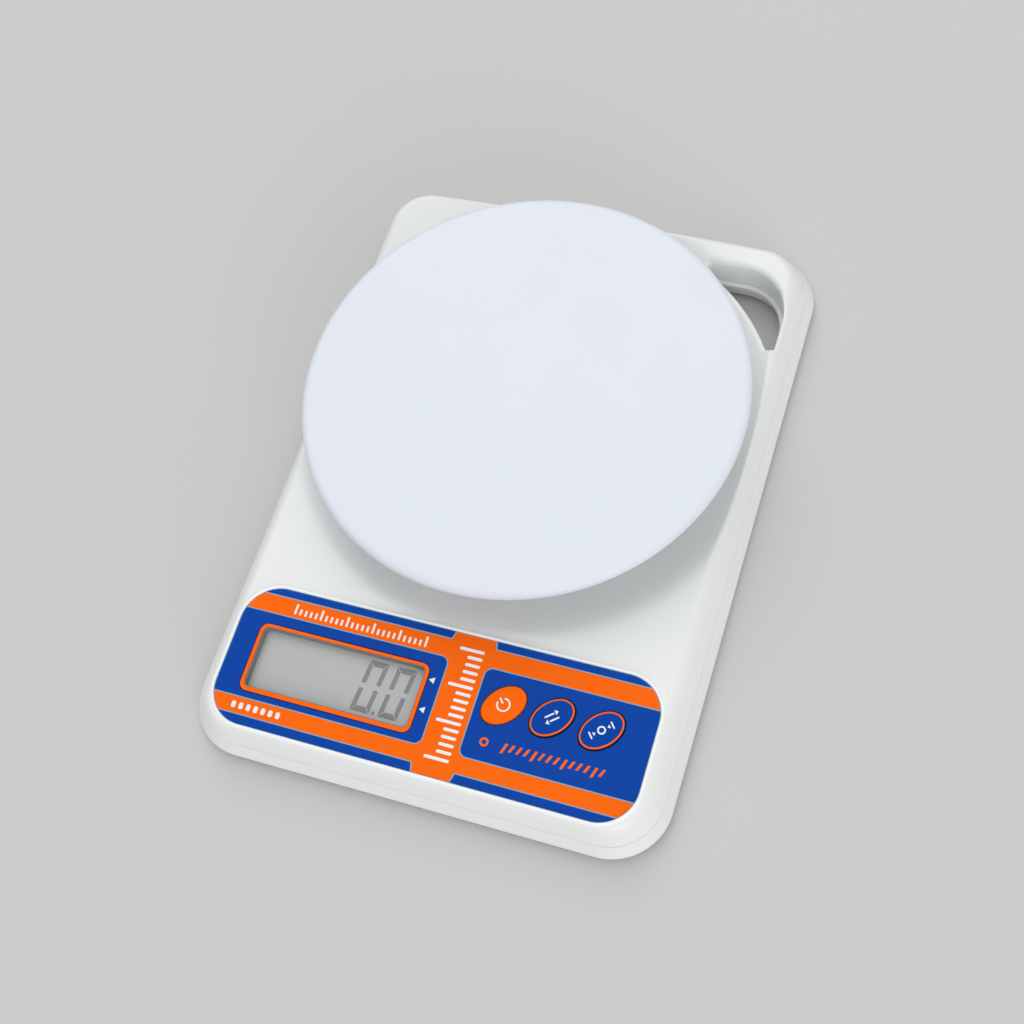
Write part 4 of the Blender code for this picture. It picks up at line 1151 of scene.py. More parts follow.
@dataclass
class Base:
    """The lower shell with its floor, battery bay, hanging opening, feet and screws."""

    workshop: Workshop
    outline: CaseOutline
    foot_profile: Sequence[Band] = (
        (1.75, 2.0),
        (1.3, 2.05),
        (0.85, 2.25),
        (0.45, 2.65),
        (0.18, 3.15),
        (0.03, 3.7),
        (0.0, 4.2),
    )
    edge_profile: Sequence[Band] = (
        (0.6, 5.5),
        (1.8, 8.0),
        (2.2, 8.9),
        (2.3, 9.13),
        (2.5, 9.2),
        (3.95, 9.2),
        (3.95, 10.6),
    )
    edge_height: float = 9.1 * MM
    floor: float = 3.8 * MM
    bottom: float = 2.0 * MM
    hollow_inset: float = 4.8 * MM
    tool_high: float = 15.0 * MM
    opening_wall: float = 2.0 * MM
    opening_gap: float = 2.4 * MM
    ledge: float = 1.5 * MM
    ledge_thickness: float = 1.8 * MM
    ledge_edge: float = 0.7 * MM
    foot_cup: float = 0.25 * MM
    foot_rim: Sequence[Band] = ((3, 0.2), (1.9, 0.0), (1.1, 0.0), (0.55, 0.12), (0.18, 0.45), (0, 1.0))
    pocket_gap: float = 0.4 * MM
    pocket_depth: float = 0.9 * MM
    bay_low: Point = (9.2 * MM, -4.5 * MM)
    bay_high: Point = (40.0 * MM, 54.5 * MM)
    bay_top: float = 18.6 * MM
    bay_wall: float = 1.2 * MM
    door_gap: float = 0.3 * MM
    door_rim: float = 1.6 * MM
    rim_top: float = 5.3 * MM
    panel_size: Point = (52.0 * MM, 34.0 * MM)
    panel_place: Point = (-38.0 * MM, -40.0 * MM)
    panel_depth: float = 0.3 * MM

    def shell(self) -> bpy.types.Mesh:
        """The wall and floor, with the ledge of the hanging opening.

        Returns:
            The mesh of the base.
        """
        rings = []
        for inset, z in millimetres((*self.foot_profile, *self.edge_profile)):
            rings.append([(x, y, z) for x, y in self.outline.ring(inset)])
        hollow = prism(self.outline.ring(self.hollow_inset), self.floor, self.tool_high)
        keep = prism(self.outline.opening(self.opening_wall), 0, self.edge_height)
        rim = self.around_door(self.door_rim, self.rim_top)
        hollow = carved(to_mesh(hollow, "hollow"), [(Cut.REMOVE, keep), (Cut.REMOVE, rim)])
        above = prism(self.outline.opening(self.opening_gap), self.edge_height, self.tool_high)
        below = prism(self.outline.opening(0.0), 0, self.edge_height - self.ledge_thickness)
        solids = (combined([(hollow, None)]), above, self.ledge_tool(), below)
        tools = [(Cut.REMOVE, solid) for solid in solids]
        return carved(to_mesh(loft(rings), "base"), tools + self.bay_tools() + self.underside_tools())

    def around_door(self, margin: float, top: float) -> bmesh.types.BMesh:
        """A block from the ground up that is larger than the battery door by a margin."""
        low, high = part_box("battery_door")
        return box((low.x - margin, low.y - margin, 0), (high.x + margin, high.y + margin, top))

    def ledge_tool(self) -> bmesh.types.BMesh:
        """Cutter for the through hole, with the ledge's upper edge rounded.

        Returns:
            The closed cutter.
        """
        radius = self.ledge_edge
        rings = [[(x, y, 0) for x, y in self.outline.opening(-self.ledge)]]
        for i in range(5):
            a = math.pi / 2 * i / 4
            shape = self.outline.opening(-self.ledge + radius * (1 - math.cos(a)))
            rings.append([(x, y, self.edge_height - radius * (1 - math.sin(a))) for x, y in shape])
        shape = self.outline.opening(-self.ledge + 1.2 * radius)
        rings.append([(x, y, self.tool_high) for x, y in shape])
        return loft(rings)

    def bay_tools(self) -> list[Tool]:
        """Walls and hollow of the battery bay, and the rebate of its door.

        Returns:
            The steps in order.
        """
        low, high, wall = self.bay_low, self.bay_high, self.bay_wall
        start = (low[0] - wall, low[1] - wall, 3 * MM)
        walls = box(start, (high[0] + wall, high[1] + wall, self.bay_top + wall))
        hollow = box((*low, 0), (*high, self.bay_top))
        rebate = self.around_door(self.door_gap, self.bottom + self.door_rim)
        return [(Cut.ADD, walls), (Cut.REMOVE, hollow), (Cut.REMOVE, rebate)]

    def underside_tools(self) -> list[Tool]:
        """Foot pockets, screw recesses and the blank rating panel.

        Returns:
            The steps in order.
        """
        solids = []
        for foot in FEET:
            pocket = circle(half_width(foot) + self.pocket_gap, 48, plan_middle(foot))
            solids.append(prism(pocket, 0, self.bottom + self.pocket_depth))
        recesses = ((CASE_SCREWS, 3.4 * MM, 2.2 * MM), (CELL_SCREWS, 4.0 * MM, 1.9 * MM))
        for screws, radius, seat in recesses:
            for screw in screws:
                recess = circle(radius, 36, plan_middle(screw))
                solids.append(prism(recess, 0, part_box(screw)[0].z + seat))
        panel = rounded_rectangle(self.panel_size, 3 * MM, self.panel_place, 6)
        solids.append(prism(panel, 0, self.bottom + self.panel_depth))
        return [(Cut.REMOVE, solid) for solid in solids]

    def build(self) -> None:
        """Build the base, its feet and its screws, and set them in place."""
        self.workshop.place("base", self.shell(), ["shell_white"], Body.HOUSING, ["base_shell"])
        for foot in FEET:
            self.foot(foot)
        for screw in CASE_SCREWS:
            self.screw(screw, 2.8 * MM, 1.9 * MM)
        for screw in CELL_SCREWS:
            self.screw(screw, 3.6 * MM, 1.6 * MM)

    def foot(self, node: str) -> None:
        """A round rubber foot with a shallow cup under it.

        Args:
            node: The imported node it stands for.
        """
        radius = half_width(node)
        profile = [(0.0, self.foot_cup)]
        profile += [(radius - inset, z) for inset, z in millimetres(self.foot_rim)]
        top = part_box(node)[1].z
        profile += [(radius, top), (0, top)]
        mesh = to_mesh(turned(profile, 48), node)
        place = Matrix.Translation((*plan_middle(node), 0))
        self.workshop.place(f"rubber_{node}", mesh, ["foot_rubber"], Body.HOUSING, [node], place)

    def screw(self, node: str, head: float, height: float) -> None:
        """A cross-head screw seen from below, with its domed head and threaded shank.

        Args:
            node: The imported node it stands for.
            head: Radius of the head.
            height: Height of the head.
        """
        low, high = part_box(node)
        length = high.z - low.z - height
        shank = head * 0.42
        profile = [(0, -height), (head * 0.45, -height * 0.98), (head * 0.78, -height * 0.82)]
        profile += [(head * 0.95, -height * 0.5), (head, -height * 0.2), (head, 0), (shank, 0)]
        turns = int(length / (0.9 * MM))
        for i in range(turns):
            z = (i + 0.3) * length / (turns + 1)
            profile += [(shank * 0.82, z), (shank, z + 0.3 * MM)]
        profile += [(shank * 0.3, length), (0, length)]
        arms = []
        for x, y in ((head * 0.62, head * 0.13), (head * 0.13, head * 0.62)):
            arms.append((Cut.REMOVE, box((-x, -y, -height * 2), (x, y, -height * 0.45))))
        mesh = carved(to_mesh(turned(profile, 32), node), arms)
        place = Matrix.Translation((*plan_middle(node), low.z + height))
        self.workshop.place(f"fastener_{node}", mesh, ["screw_steel"], Body.HOUSING, [node], place)


@dataclass
class BatteryDoor:
    """The door under the battery bay, with grip ribs, an arrow and a latch tongue."""

    workshop: Workshop
    thickness: float = 1.3 * MM
    corner: float = 1.2 * MM
    edge_profile: Sequence[Band] = (
        (0.3, 0.0),
        (0.08, 0.08),
        (0.0, 0.28),
        (0.0, 1.02),
        (0.08, 1.22),
        (0.3, 1.3),
    )
    tongue_place: float = 3.6 * MM
    tongue_reach: float = 4.0 * MM
    ribs: int = 5
    rib_start: float = 5.0 * MM
    rib_pitch: float = 2.2 * MM
    rib_size: Point = (17.0 * MM, 1.1 * MM)
    rib_depth: float = 0.45 * MM
    arrow_place: float = 19.0 * MM
    arrow_size: Point = (3.0 * MM, 4.0 * MM)
    arrow_depth: float = 0.3 * MM

    def build(self) -> None:
        """Build the door and set it in place."""
        low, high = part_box("battery_door")
        centre = plan_middle("battery_door")
        outline = rounded_rectangle((high.x - low.x, high.y - low.y), self.corner, centre, 5)
        rings = []
        for inset, z in millimetres(self.edge_profile):
            rings.append([(x, y, low.z + z) for x, y in offset(outline, -inset)])
        root, reach = low.y + self.tongue_place, self.tongue_reach
        start = (centre[0] - reach, root, low.z + self.thickness / 2)
        tools = [(Cut.ADD, box(start, (centre[0] + reach, root + 1 * MM, high.z)))]
        for i in range(self.ribs):
            place = (centre[0], low.y + self.rib_start + self.rib_pitch * i)
            groove = rounded_rectangle(self.rib_size, 0.5 * MM, place, 5)
            tools.append((Cut.REMOVE, prism(groove, 0, low.z + self.rib_depth)))
        top, (wide, tall) = low.y + self.arrow_place, self.arrow_size
        arrow = [(centre[0] - wide, top), (centre[0], top - tall), (centre[0] + wide, top)]
        tools.append((Cut.REMOVE, prism(arrow, 0, low.z + self.arrow_depth)))
        mesh = carved(to_mesh(loft(rings), "door"), tools)
        self.workshop.place("bay_door", mesh, ["shell_white"], Body.DOOR, ["battery_door"])


# ------------------------------------------------------------------ pan and posts


@dataclass
class Pan:
    """The round pan: a smooth plate with a turned-down rim, stiffening rings and four sockets."""

    workshop: Workshop
    edge: float = 2.6 * MM
    plate: float = 2.2 * MM
    rim_depth: float = 3.3 * MM
    segments: int = 220
    stiffeners: Band = (24.0 * MM, 48.0 * MM)
    stiffener_profile: Sequence[Band] = (
        (0, 0),
        (0.25, 1.2),
        (0.45, 1.4),
        (1.15, 1.4),
        (1.35, 1.2),
        (1.6, 0),
    )
    socket_profile: Sequence[Band] = ((3.0, 0.25), (3.25, 0.0), (5.15, 0.0), (5.4, 0.25))

    def profile(self, radius: float, bottom: float, top: float) -> list[Point]:
        """Radius and height pairs from the middle of the underside round to the middle of the top.

        Args:
            radius: Radius of the pan.
            bottom: Height of the rim's lower edge.
            top: Height of the plate's top.

        Returns:
            The pairs in order.
        """
        under = top - self.plate
        pairs = [(0.0, under)]
        for ring in self.stiffeners:
            for out, down in millimetres(self.stiffener_profile):
                pairs.append((ring + out, under - down))
        pairs += [(radius - 3.4 * MM, under), (radius - 2.6 * MM, under - 0.25 * MM)]
        pairs += [(radius - 2.15 * MM, bottom + 0.35 * MM), (radius - 1.8 * MM, bottom)]
        pairs += [(radius - 0.55 * MM, bottom), (radius - 0.15 * MM, bottom + 0.18 * MM)]
        pairs += [(radius, bottom + 0.55 * MM)]
        pairs += round_over(radius, top, self.edge, 8)
        return [*pairs, (radius - 8 * MM, top), (0.0, top)]

    def build(self) -> None:
        """Build the pan with its sockets and set it in place."""
        low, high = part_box("pan")
        centre = Vector((*plan_middle("pan"), 0))
        profile = self.profile(half_width("pan"), high.z - self.rim_depth, high.z)
        parts = [(to_mesh(turned(profile, self.segments), "plate"), 0)]
        for post in POSTS:
            place = Vector((*plan_middle(post), 0)) - centre
            parts.append((self.socket(place, low.z, high.z - self.plate + 0.3 * MM), 0))
        mesh = to_mesh(combined(parts), "pan")
        matrix = Matrix.Translation(centre)
        self.workshop.place("weighing_pan", mesh, ["pan_white"], Body.PAN, ["pan"], matrix)

    def socket(self, place: Vector, low: float, high: float) -> bpy.types.Mesh:
        """A short tube under the pan that a post fits into, in the pan's own coordinates.

        Args:
            place: Middle of the post.
            low: Height of the tube's lower end.
            high: Height of its root in the plate.

        Returns:
            The mesh of the tube.
        """
        lower = [(radius, low + z) for radius, z in millimetres(self.socket_profile)]
        section = [*lower, (lower[-1][0], high), (lower[0][0], high)]
        rings = []
        for x, y in circle(1.0, 36):
            rings.append([place + Vector((radius * x, radius * y, z)) for radius, z in section])
        return to_mesh(closed_sweep(rings), "socket")


@dataclass
class PanPosts:
    """The four rubber-tipped posts that stand on the load frame and carry the pan."""

    workshop: Workshop
    tip_length: float = 1.8 * MM
    root_profile: Sequence[Band] = (
        (0, 0),
        (2.4, 0),
        (2.4, 2.2),
        (4.7, 2.2),
        (5.0, 2.5),
        (5.0, 3.9),
        (4.75, 4.3),
        (4.2, 4.7),
        (4.0, 5.1),
    )
    shoulder_profile: Sequence[Band] = ((4.0, 0.3), (3.7, 0), (2.6, 0))
    tip_profile: Sequence[Band] = ((2.6, 0.7), (2.35, 0.2), (1.9, 0), (0, 0))

    def build(self) -> None:
        """Build each post and set it in place."""
        for node in POSTS:
            low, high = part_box(node)
            top = high.z - low.z
            shoulder = top - self.tip_length
            profile = millimetres(self.root_profile)
            profile += [(r, shoulder - down) for r, down in millimetres(self.shoulder_profile)]
            profile += [(r, top - down) for r, down in millimetres(self.tip_profile)]
            mesh = to_mesh(turned(profile, 40), node)
            place = Matrix.Translation((*plan_middle(node), low.z))
            name = f"carrier_{node}"
            self.workshop.place(name, mesh, ["rubber_grey"], Body.LOAD_FRAME, [node], place)


@dataclass
class LoadCell:
    """The aluminium bar that bends under load, with its web holes and two sealed strain gauges."""

    workshop: Workshop
    edge: float = 0.5 * MM
    web_hole: float = 4.6 * MM
    web_offset: float = 6.0 * MM
    screw_hole: float = 2.2 * MM
    screw_insets: Sequence[float] = (5.0 * MM, 20.0 * MM)
    pad_size: Point = (10.0 * MM, 24.0 * MM)
    pad_height: float = 1.1 * MM
    bend_from: float = 42.0 * MM
    bend_to: float = 9.0 * MM
    sections: int = 24

    def bar(self, low: Vector, high: Vector) -> bpy.types.Mesh:
        """The drilled bar.

        Args:
            low: Lowest corner of the bar.
            high: Highest corner of the bar.

        Returns:
            The mesh of the bar.
        """
        middle = (low + high) / 2
        section = rounded_rectangle((high.x - low.x, high.z - low.z), self.edge, steps=3)
        places = [low.y + (high.y - low.y) * k / self.sections for k in range(self.sections + 1)]
        rings = [[(x, y, middle.z + z) for x, z in section] for y in places]
        tools = []
        for side in (-1, 1):
            web = prism(circle(self.web_hole, 36), -10 * MM, 10 * MM)
            place = Matrix.Translation((0, middle.y + side * self.web_offset, middle.z))
            tools.append((Cut.REMOVE, moved(web, place @ Matrix.Rotation(math.pi / 2, 4, "Y"))))
            for inset in self.screw_insets:
                y = middle.y + side * ((high.y - low.y) / 2 - inset)
                hole = prism(circle(self.screw_hole, 24, (0, y)), low.z - 1 * MM, high.z + 1 * MM)
                tools.append((Cut.REMOVE, hole))
        return carved(to_mesh(loft(rings), "bar"), tools)

    def build(self) -> None:
        """Build the bar with its gauges and set it in place, riding on no body."""
        low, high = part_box("load_cell")
        middle = (low + high) / 2
        parts = [(self.bar(low, high), 0)]
        for side in (-1, 1):
            shape = rounded_rectangle(self.pad_size, 2 * MM, (0, middle.y), 5)
            reach = (high.z - low.z) / 2
            pad = prism(shape, reach - 0.05 * MM, reach + self.pad_height, 0.4 * MM)
            flip = Matrix.Translation((0, 0, middle.z)) @ Matrix.Diagonal((1, 1, side, 1))
            parts.append((to_mesh(moved(pad, flip), "gauge"), 1))
        mesh = to_mesh(combined(parts), "load_cell")
        nodes = ["load_cell", "gauge_cover_top", "gauge_cover_bottom"]
        finishes = ["cell_aluminium", "silicone_white"]
        cell = self.workshop.place("weighing_cell", mesh, finishes, None, nodes)
        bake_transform(cell)


# ------------------------------------------------------------------ console


@dataclass
class KeyRow:
    """Three oval keys: their places, their printed rings and their symbols."""

    workshop: Workshop
    console: Console
    tilt: float = math.radians(46)
    axes: Point = (8.0 * MM, 5.6 * MM)
    well_gap: float = 0.45 * MM
    dome: float = 0.55 * MM
    ring_width: float = 0.55 * MM
    rim_width: float = 0.22 * MM
    ink: float = 0.03 * MM
    ink_root: float = 0.02 * MM
    line: float = 0.55 * MM
    stem: float = 2.2 * MM
    power_gap: float = math.radians(35)
    arrow_spread: float = math.radians(140)
    symbol_lean: float = math.radians(40)

    def place(self, key: Legend) -> Point:
        """Middle of a key, in console coordinates.

        Args:
            key: Which key.

        Returns:
            The middle.
        """
        low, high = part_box(f"switch_{key.value}")
        middle = Vector(((low.x + high.x) / 2, (low.y + high.y) / 2, (low.z + high.z) / 2))
        local = self.console.matrix.inverted() @ middle
        return (local.x, local.y)

    def oval(self, key: Legend, grow: float) -> list[Point]:
        """Outline of a key, grown or shrunk, in console coordinates."""
        return ellipse((self.axes[0] + grow, self.axes[1] + grow), self.tilt, self.place(key))

    def cap(self, key: Legend) -> bpy.types.Mesh:
        """The domed cap with its stem, in bands of ink: rim, printed ring and field.

        Args:
            key: Which key.

        Returns:
            The mesh of the cap.
        """
        rise, rim = self.dome, self.rim_width
        outer, ring, middle = (1, 1, 1) if key is Legend.POWER else (2, 1, 0)
        steps = [(0.0, -0.5 * MM, outer), (0.0, 0.02 * MM, outer), (0.12 * MM, 0.2 * MM, outer)]
        steps += [(rim, 0.36 * MM, ring), (rim + 0.35 * MM, 0.46 * MM, ring)]
        steps += [(rim + self.ring_width, rise - 0.03 * MM, middle), (1.8 * MM, rise, middle)]
        rings = []
        for shrink, n, _ in steps:
            rings.append([(x, y, n) for x, y in self.oval(key, -shrink)])
        cap = to_mesh(loft(rings, [ink for _, _, ink in steps]), "cap")
        u, v = self.place(key)
        stem = to_mesh(prism(circle(self.stem, 24, (u, v)), -3.4 * MM, 0.2 * MM), "stem")
        return to_mesh(combined([(cap, None), (stem, 0)]), "cap")

    def printed(self, outline: Sequence[Point]) -> bmesh.types.BMesh:
        """A thin layer of ink on top of the dome."""
        return prism(outline, self.dome - self.ink_root, self.dome + self.ink)

    def bar(self, middle: Point, size: Point) -> bmesh.types.BMesh:
        """A short printed bar with round ends."""
        bar = self.printed(rounded_rectangle(size, min(size) / 2 * 0.98, steps=5))
        return moved(bar, Matrix.Translation((*middle, 0)))

    def stroke(self, middle: Point, radius: float, width: float, span: Band) -> bmesh.types.BMesh:
        """A printed arc of even width.

        Args:
            middle: Centre of the arc.
            radius: Middle radius of the stroke.
            width: Width of the stroke.
            span: First and last angle, in radians.

        Returns:
            The closed mesh.
        """
        outer = arc(middle, radius + width / 2, span[0], span[1], 28)
        inner = arc(middle, radius - width / 2, span[1], span[0], 28)
        return self.printed(outer + inner)

    def arrow(self, tip: Point, angle: float, size: float) -> bmesh.types.BMesh:
        """A small printed triangle that points along an angle.

        Args:
            tip: Its tip.
            angle: Where it points, in radians.
            size: Its size.

        Returns:
            The closed mesh.
        """
        reach = size * 1.5
        corners = [(tip[0], tip[1])]
        for turn in (angle + self.arrow_spread, angle - self.arrow_spread):
            corners.append((tip[0] + reach * math.cos(turn), tip[1] + reach * math.sin(turn)))
        return self.printed(corners)

    def symbol(self, key: Legend) -> list[bmesh.types.BMesh]:
        """The printed symbol of a key: power, change of unit, or back to zero.

        Args:
            key: Which key.

        Returns:
            One thin solid for each stroke.
        """
        u, v = self.place(key)
        if key is Legend.POWER:
            span = (math.pi / 2 + self.power_gap, 2.5 * math.pi - self.power_gap)
            ring = self.stroke((u, v), 2.1 * MM, self.line, span)
            return [ring, self.bar((u, v + 1.5 * MM), (self.line, 2.3 * MM))]
        if key is Legend.UNIT:
            shapes = []
            for side in (1, -1):
                y = v + side * 0.95 * MM
                shapes.append(self.bar((u - side * 0.5 * MM, y), (3.4 * MM, self.line)))
                heading = 0 if side > 0 else math.pi
                shapes.append(self.arrow((u + side * 2.7 * MM, y), heading, 0.95 * MM))
            return shapes
        zero = [self.stroke((u, v), 1.15 * MM, self.line, (0.0, 2 * math.pi - 0.001))]
        for side in (1, -1):
            zero.append(self.bar((u + side * 3.9 * MM, v), (0.5 * MM, 2.6 * MM)))
            heading = math.pi if side > 0 else 0
            zero.append(self.arrow((u + side * 2.1 * MM, v), heading, 0.75 * MM))
        return zero

    def leaning(self, key: Legend) -> Matrix:
        """Turn about a key's middle that lays its symbol along the key.

        Args:
            key: Which key.

        Returns:
            The turn, in console coordinates.
        """
        middle = Vector((*self.place(key), 0))
        turn = Matrix.Rotation(self.symbol_lean, 4, "Z")
        return Matrix.Translation(middle) @ turn @ Matrix.Translation(-middle)

    def build(self) -> None:
        """Build the three keys and set each on its own body."""
        bodies = (Body.KEY_POWER, Body.KEY_UNIT, Body.KEY_TARE)
        for key, body in zip(Legend, bodies):
            field_ink = "key_orange" if key is Legend.POWER else "key_blue"
            finishes = [field_ink, "key_orange", "label_dark", "label_white"]
            turn = self.leaning(key)
            strokes = [(to_mesh(moved(shape, turn), "legend"), 3) for shape in self.symbol(key)]
            mesh = to_mesh(combined([(self.cap(key), None), *strokes]), "key")
            name, node = f"cap_{key.value}", f"key_{key.value}"
            self.workshop.place(name, mesh, finishes, body, [node], self.console.matrix)


@dataclass(frozen=True)
class Graduation:
    """A row of printed bars, in millimetres from the middle of the body."""

    count: int
    start: Point
    step: Point
    long: Point
    short: Point
    anchor: Point = (0, 0)

    def bars(self) -> list[tuple[Point, Point]]:
        """Middle and size of each bar, the first and every fifth of them long.

        Returns:
            The pairs in order.
        """
        bars = []
        for i in range(self.count):
            size = self.long if i % 5 == 0 else self.short
            x = self.start[0] + i * self.step[0] + self.anchor[0] * size[0] / 2
            y = self.start[1] + i * self.step[1] + self.anchor[1] * size[1] / 2
            bars.append(((x, y), size))
        return bars


@dataclass
class Label:
    """The printed film: orange field, blue panels and strips, window border and generic marks."""

    workshop: Workshop
    console: Console
    window: Sequence[Point]
    keys: KeyRow
    film_low: float = -0.5 * MM
    film_top: float = -0.2 * MM
    layer: float = 0.03 * MM
    outline_width: float = 0.35 * MM
    margin: float = 0.15 * MM
    key_gap: float = 0.3 * MM
    border_size: Point = (61.5 * MM, 24.0 * MM)
    border_radius: float = 2.8 * MM
    graduations: Sequence[Graduation] = (
        Graduation(26, (-55.5, -66.4), (1.9, 0), (0.75, 3.7), (0.75, 2.2), (0, 1)),
        Graduation(16, (12.3, -63.6), (0, -2.5), (8.6, 1.05), (5.2, 1.05), (-1, 0)),
        Graduation(7, (-64.5, -101.3), (2.7, 0), (1.5, 2.3), (1.5, 2.3)),
    )
    pointer_tip: float = -2.9 * MM
    pointer_rows: Band = (-76.6, -86.9)
    pointer_size: Point = (1.9 * MM, 1.1 * MM)
    slants: int = 14
    slant_start: float = 27.2
    slant_pitch: float = 2.5
    slant_lean: float = 1.1
    slant_width: float = 0.9
    slant_top: float = -90.6
    slant_ends: Band = (-94.0, -93.1)
    ring_place: Point = (21.3, -91.9)
    ring_outer: float = 1.5 * MM
    ring_inner: float = 0.8 * MM

    def v(self, y: float) -> float:
        """Console coordinate of a distance from the middle of the body."""
        return y - self.console.centre_y

    def windows_of_blue(self, grow: float) -> list[list[Point]]:
        """Convex windows that cut the blue fields out of the label.

        Args:
            grow: How much each field grows, for its thin outline.

        Returns:
            The windows, in console coordinates.
        """
        wide = 90 * MM
        g = grow
        fields = []
        strips = (
            (-61.1 - g / MM, -56.0, -0.2, 1.3, -1),
            (-61.1 - g / MM, -56.0, 15.9, 14.8, 1),
            (-110.0, -104.4 + g / MM, 1.7, 0.2, -1),
            (-110.0, -104.4 + g / MM, 14.0, 15.5, 1),
        )
        for low, high, x_low, x_high, side in strips:
            low_v, high_v = self.v(low * MM), self.v(high * MM)
            near_low, near_high = x_low * MM - side * g, x_high * MM - side * g
            far = side * wide
            corners = [(near_low, low_v), (far, low_v), (far, high_v), (near_high, high_v)]
            fields.append(corners if side > 0 else list(reversed(corners)))
        low_v, high_v = self.v(-98.1 * MM) - g, self.v(-68.0 * MM) + g
        for x_edge, side in ((1.2 * MM, -1), (14.6 * MM, 1)):
            inner, outer = x_edge - side * g, side * wide
            size = (abs(outer - inner), high_v - low_v)
            centre = ((inner + outer) / 2, (low_v + high_v) / 2)
            fields.append(rounded_rectangle(size, 2.5 * MM + g, centre, 8))
        return fields

    def layer_mesh(self, shape: Sequence[Point], level: int) -> bpy.types.Mesh:
        """One printed layer with its holes, on top of a number of other layers."""
        top = self.film_top + self.layer * level
        return carved(to_mesh(prism(shape, self.film_top - self.layer, top), "layer"), self.holes())

    def holes(self) -> list[Tool]:
        """Cutters for the window and the three keys."""
        shapes = [self.window, *[self.keys.oval(key, self.key_gap) for key in Legend]]
        return [(Cut.REMOVE, prism(shape, -3 * MM, 3 * MM)) for shape in shapes]

    def marks(self) -> list[tuple[bpy.types.Mesh, int]]:
        """Generic marks: graduations, dashes, unit pointers, slanted bars and a ring.

        Returns:
            Each mark with its material index.
        """
        low, high = self.film_top, self.film_top + 4 * self.layer
        white, orange, blue = 4, 1, 2
        shapes: list[tuple[bmesh.types.BMesh, int]] = []
        for row in self.graduations:
            for (x, y), (width, height) in row.bars():
                size = (width * MM, height * MM)
                bar = rounded_rectangle(size, min(size) * 0.4, (x * MM, self.v(y * MM)), 3)
                shapes.append((prism(bar, low, high), white))
        for y in self.pointer_rows:
            x, v = self.pointer_tip, self.v(y * MM)
            wide, tall = self.pointer_size
            corners = [(x, v), (x + wide, v - tall), (x + wide, v + tall)]
            shapes.append((prism(corners, low, high), white))
        for i in range(self.slants):
            foot = self.slant_start + i * self.slant_pitch
            head, width = foot + self.slant_lean, self.slant_width
            top_v = self.v(self.slant_top * MM)
            low_v = self.v(self.slant_ends[0 if i % 4 == 0 else 1] * MM)
            bar = [(foot, low_v), (foot + width, low_v), (head + width, top_v), (head, top_v)]
            shapes.append((prism([(x * MM, v) for x, v in bar], low, high), orange))
        place = (self.ring_place[0] * MM, self.v(self.ring_place[1] * MM))
        shapes.append((prism(circle(self.ring_outer, 32, place), low, high), orange))
        shapes.append((prism(circle(self.ring_inner, 24, place), low, high + self.layer), blue))
        return [(to_mesh(bm, "mark"), ink) for bm, ink in shapes]

    def border(self) -> list[tuple[bpy.types.Mesh, int]]:
        """The orange border of the window and the dark line round it.

        Returns:
            Each layer with its material index.
        """
        centre = (-34.45 * MM, self.v(-83.8 * MM))
        wide, tall = self.border_size
        parts = []
        for grow, level, ink in ((0.4 * MM, 3, 3), (0.05 * MM, 4, 1)):
            size = (wide + 2 * grow, tall + 2 * grow)
            outer = rounded_rectangle(size, self.border_radius + grow, centre, 10)
            parts.append((self.layer_mesh(outer, level), ink))
        return parts

    def build(self) -> None:
        """Build the label in its printed layers and set it in place."""
        film = prism(self.console.label_outline(), self.film_low, self.film_top)
        printed = self.console.label_outline(-self.margin)
        parts = [(carved(to_mesh(film, "film"), self.holes()), 0), (self.layer_mesh(printed, 1), 1)]
        for grow, level, ink in ((self.outline_width, 2, 0), (0.0, 3, 2)):
            for window in self.windows_of_blue(grow):
                parts.append((self.layer_mesh(clipped(printed, window), level), ink))
        mesh = to_mesh(combined(parts + self.border() + self.marks()), "label")
        finishes = ["label_film", "label_orange", "label_blue", "label_dark", "label_white"]
        nodes, matrix = ["label_overlay"], self.console.matrix
        label = self.workshop.place("label", mesh, finishes, Body.HOUSING, nodes, matrix)


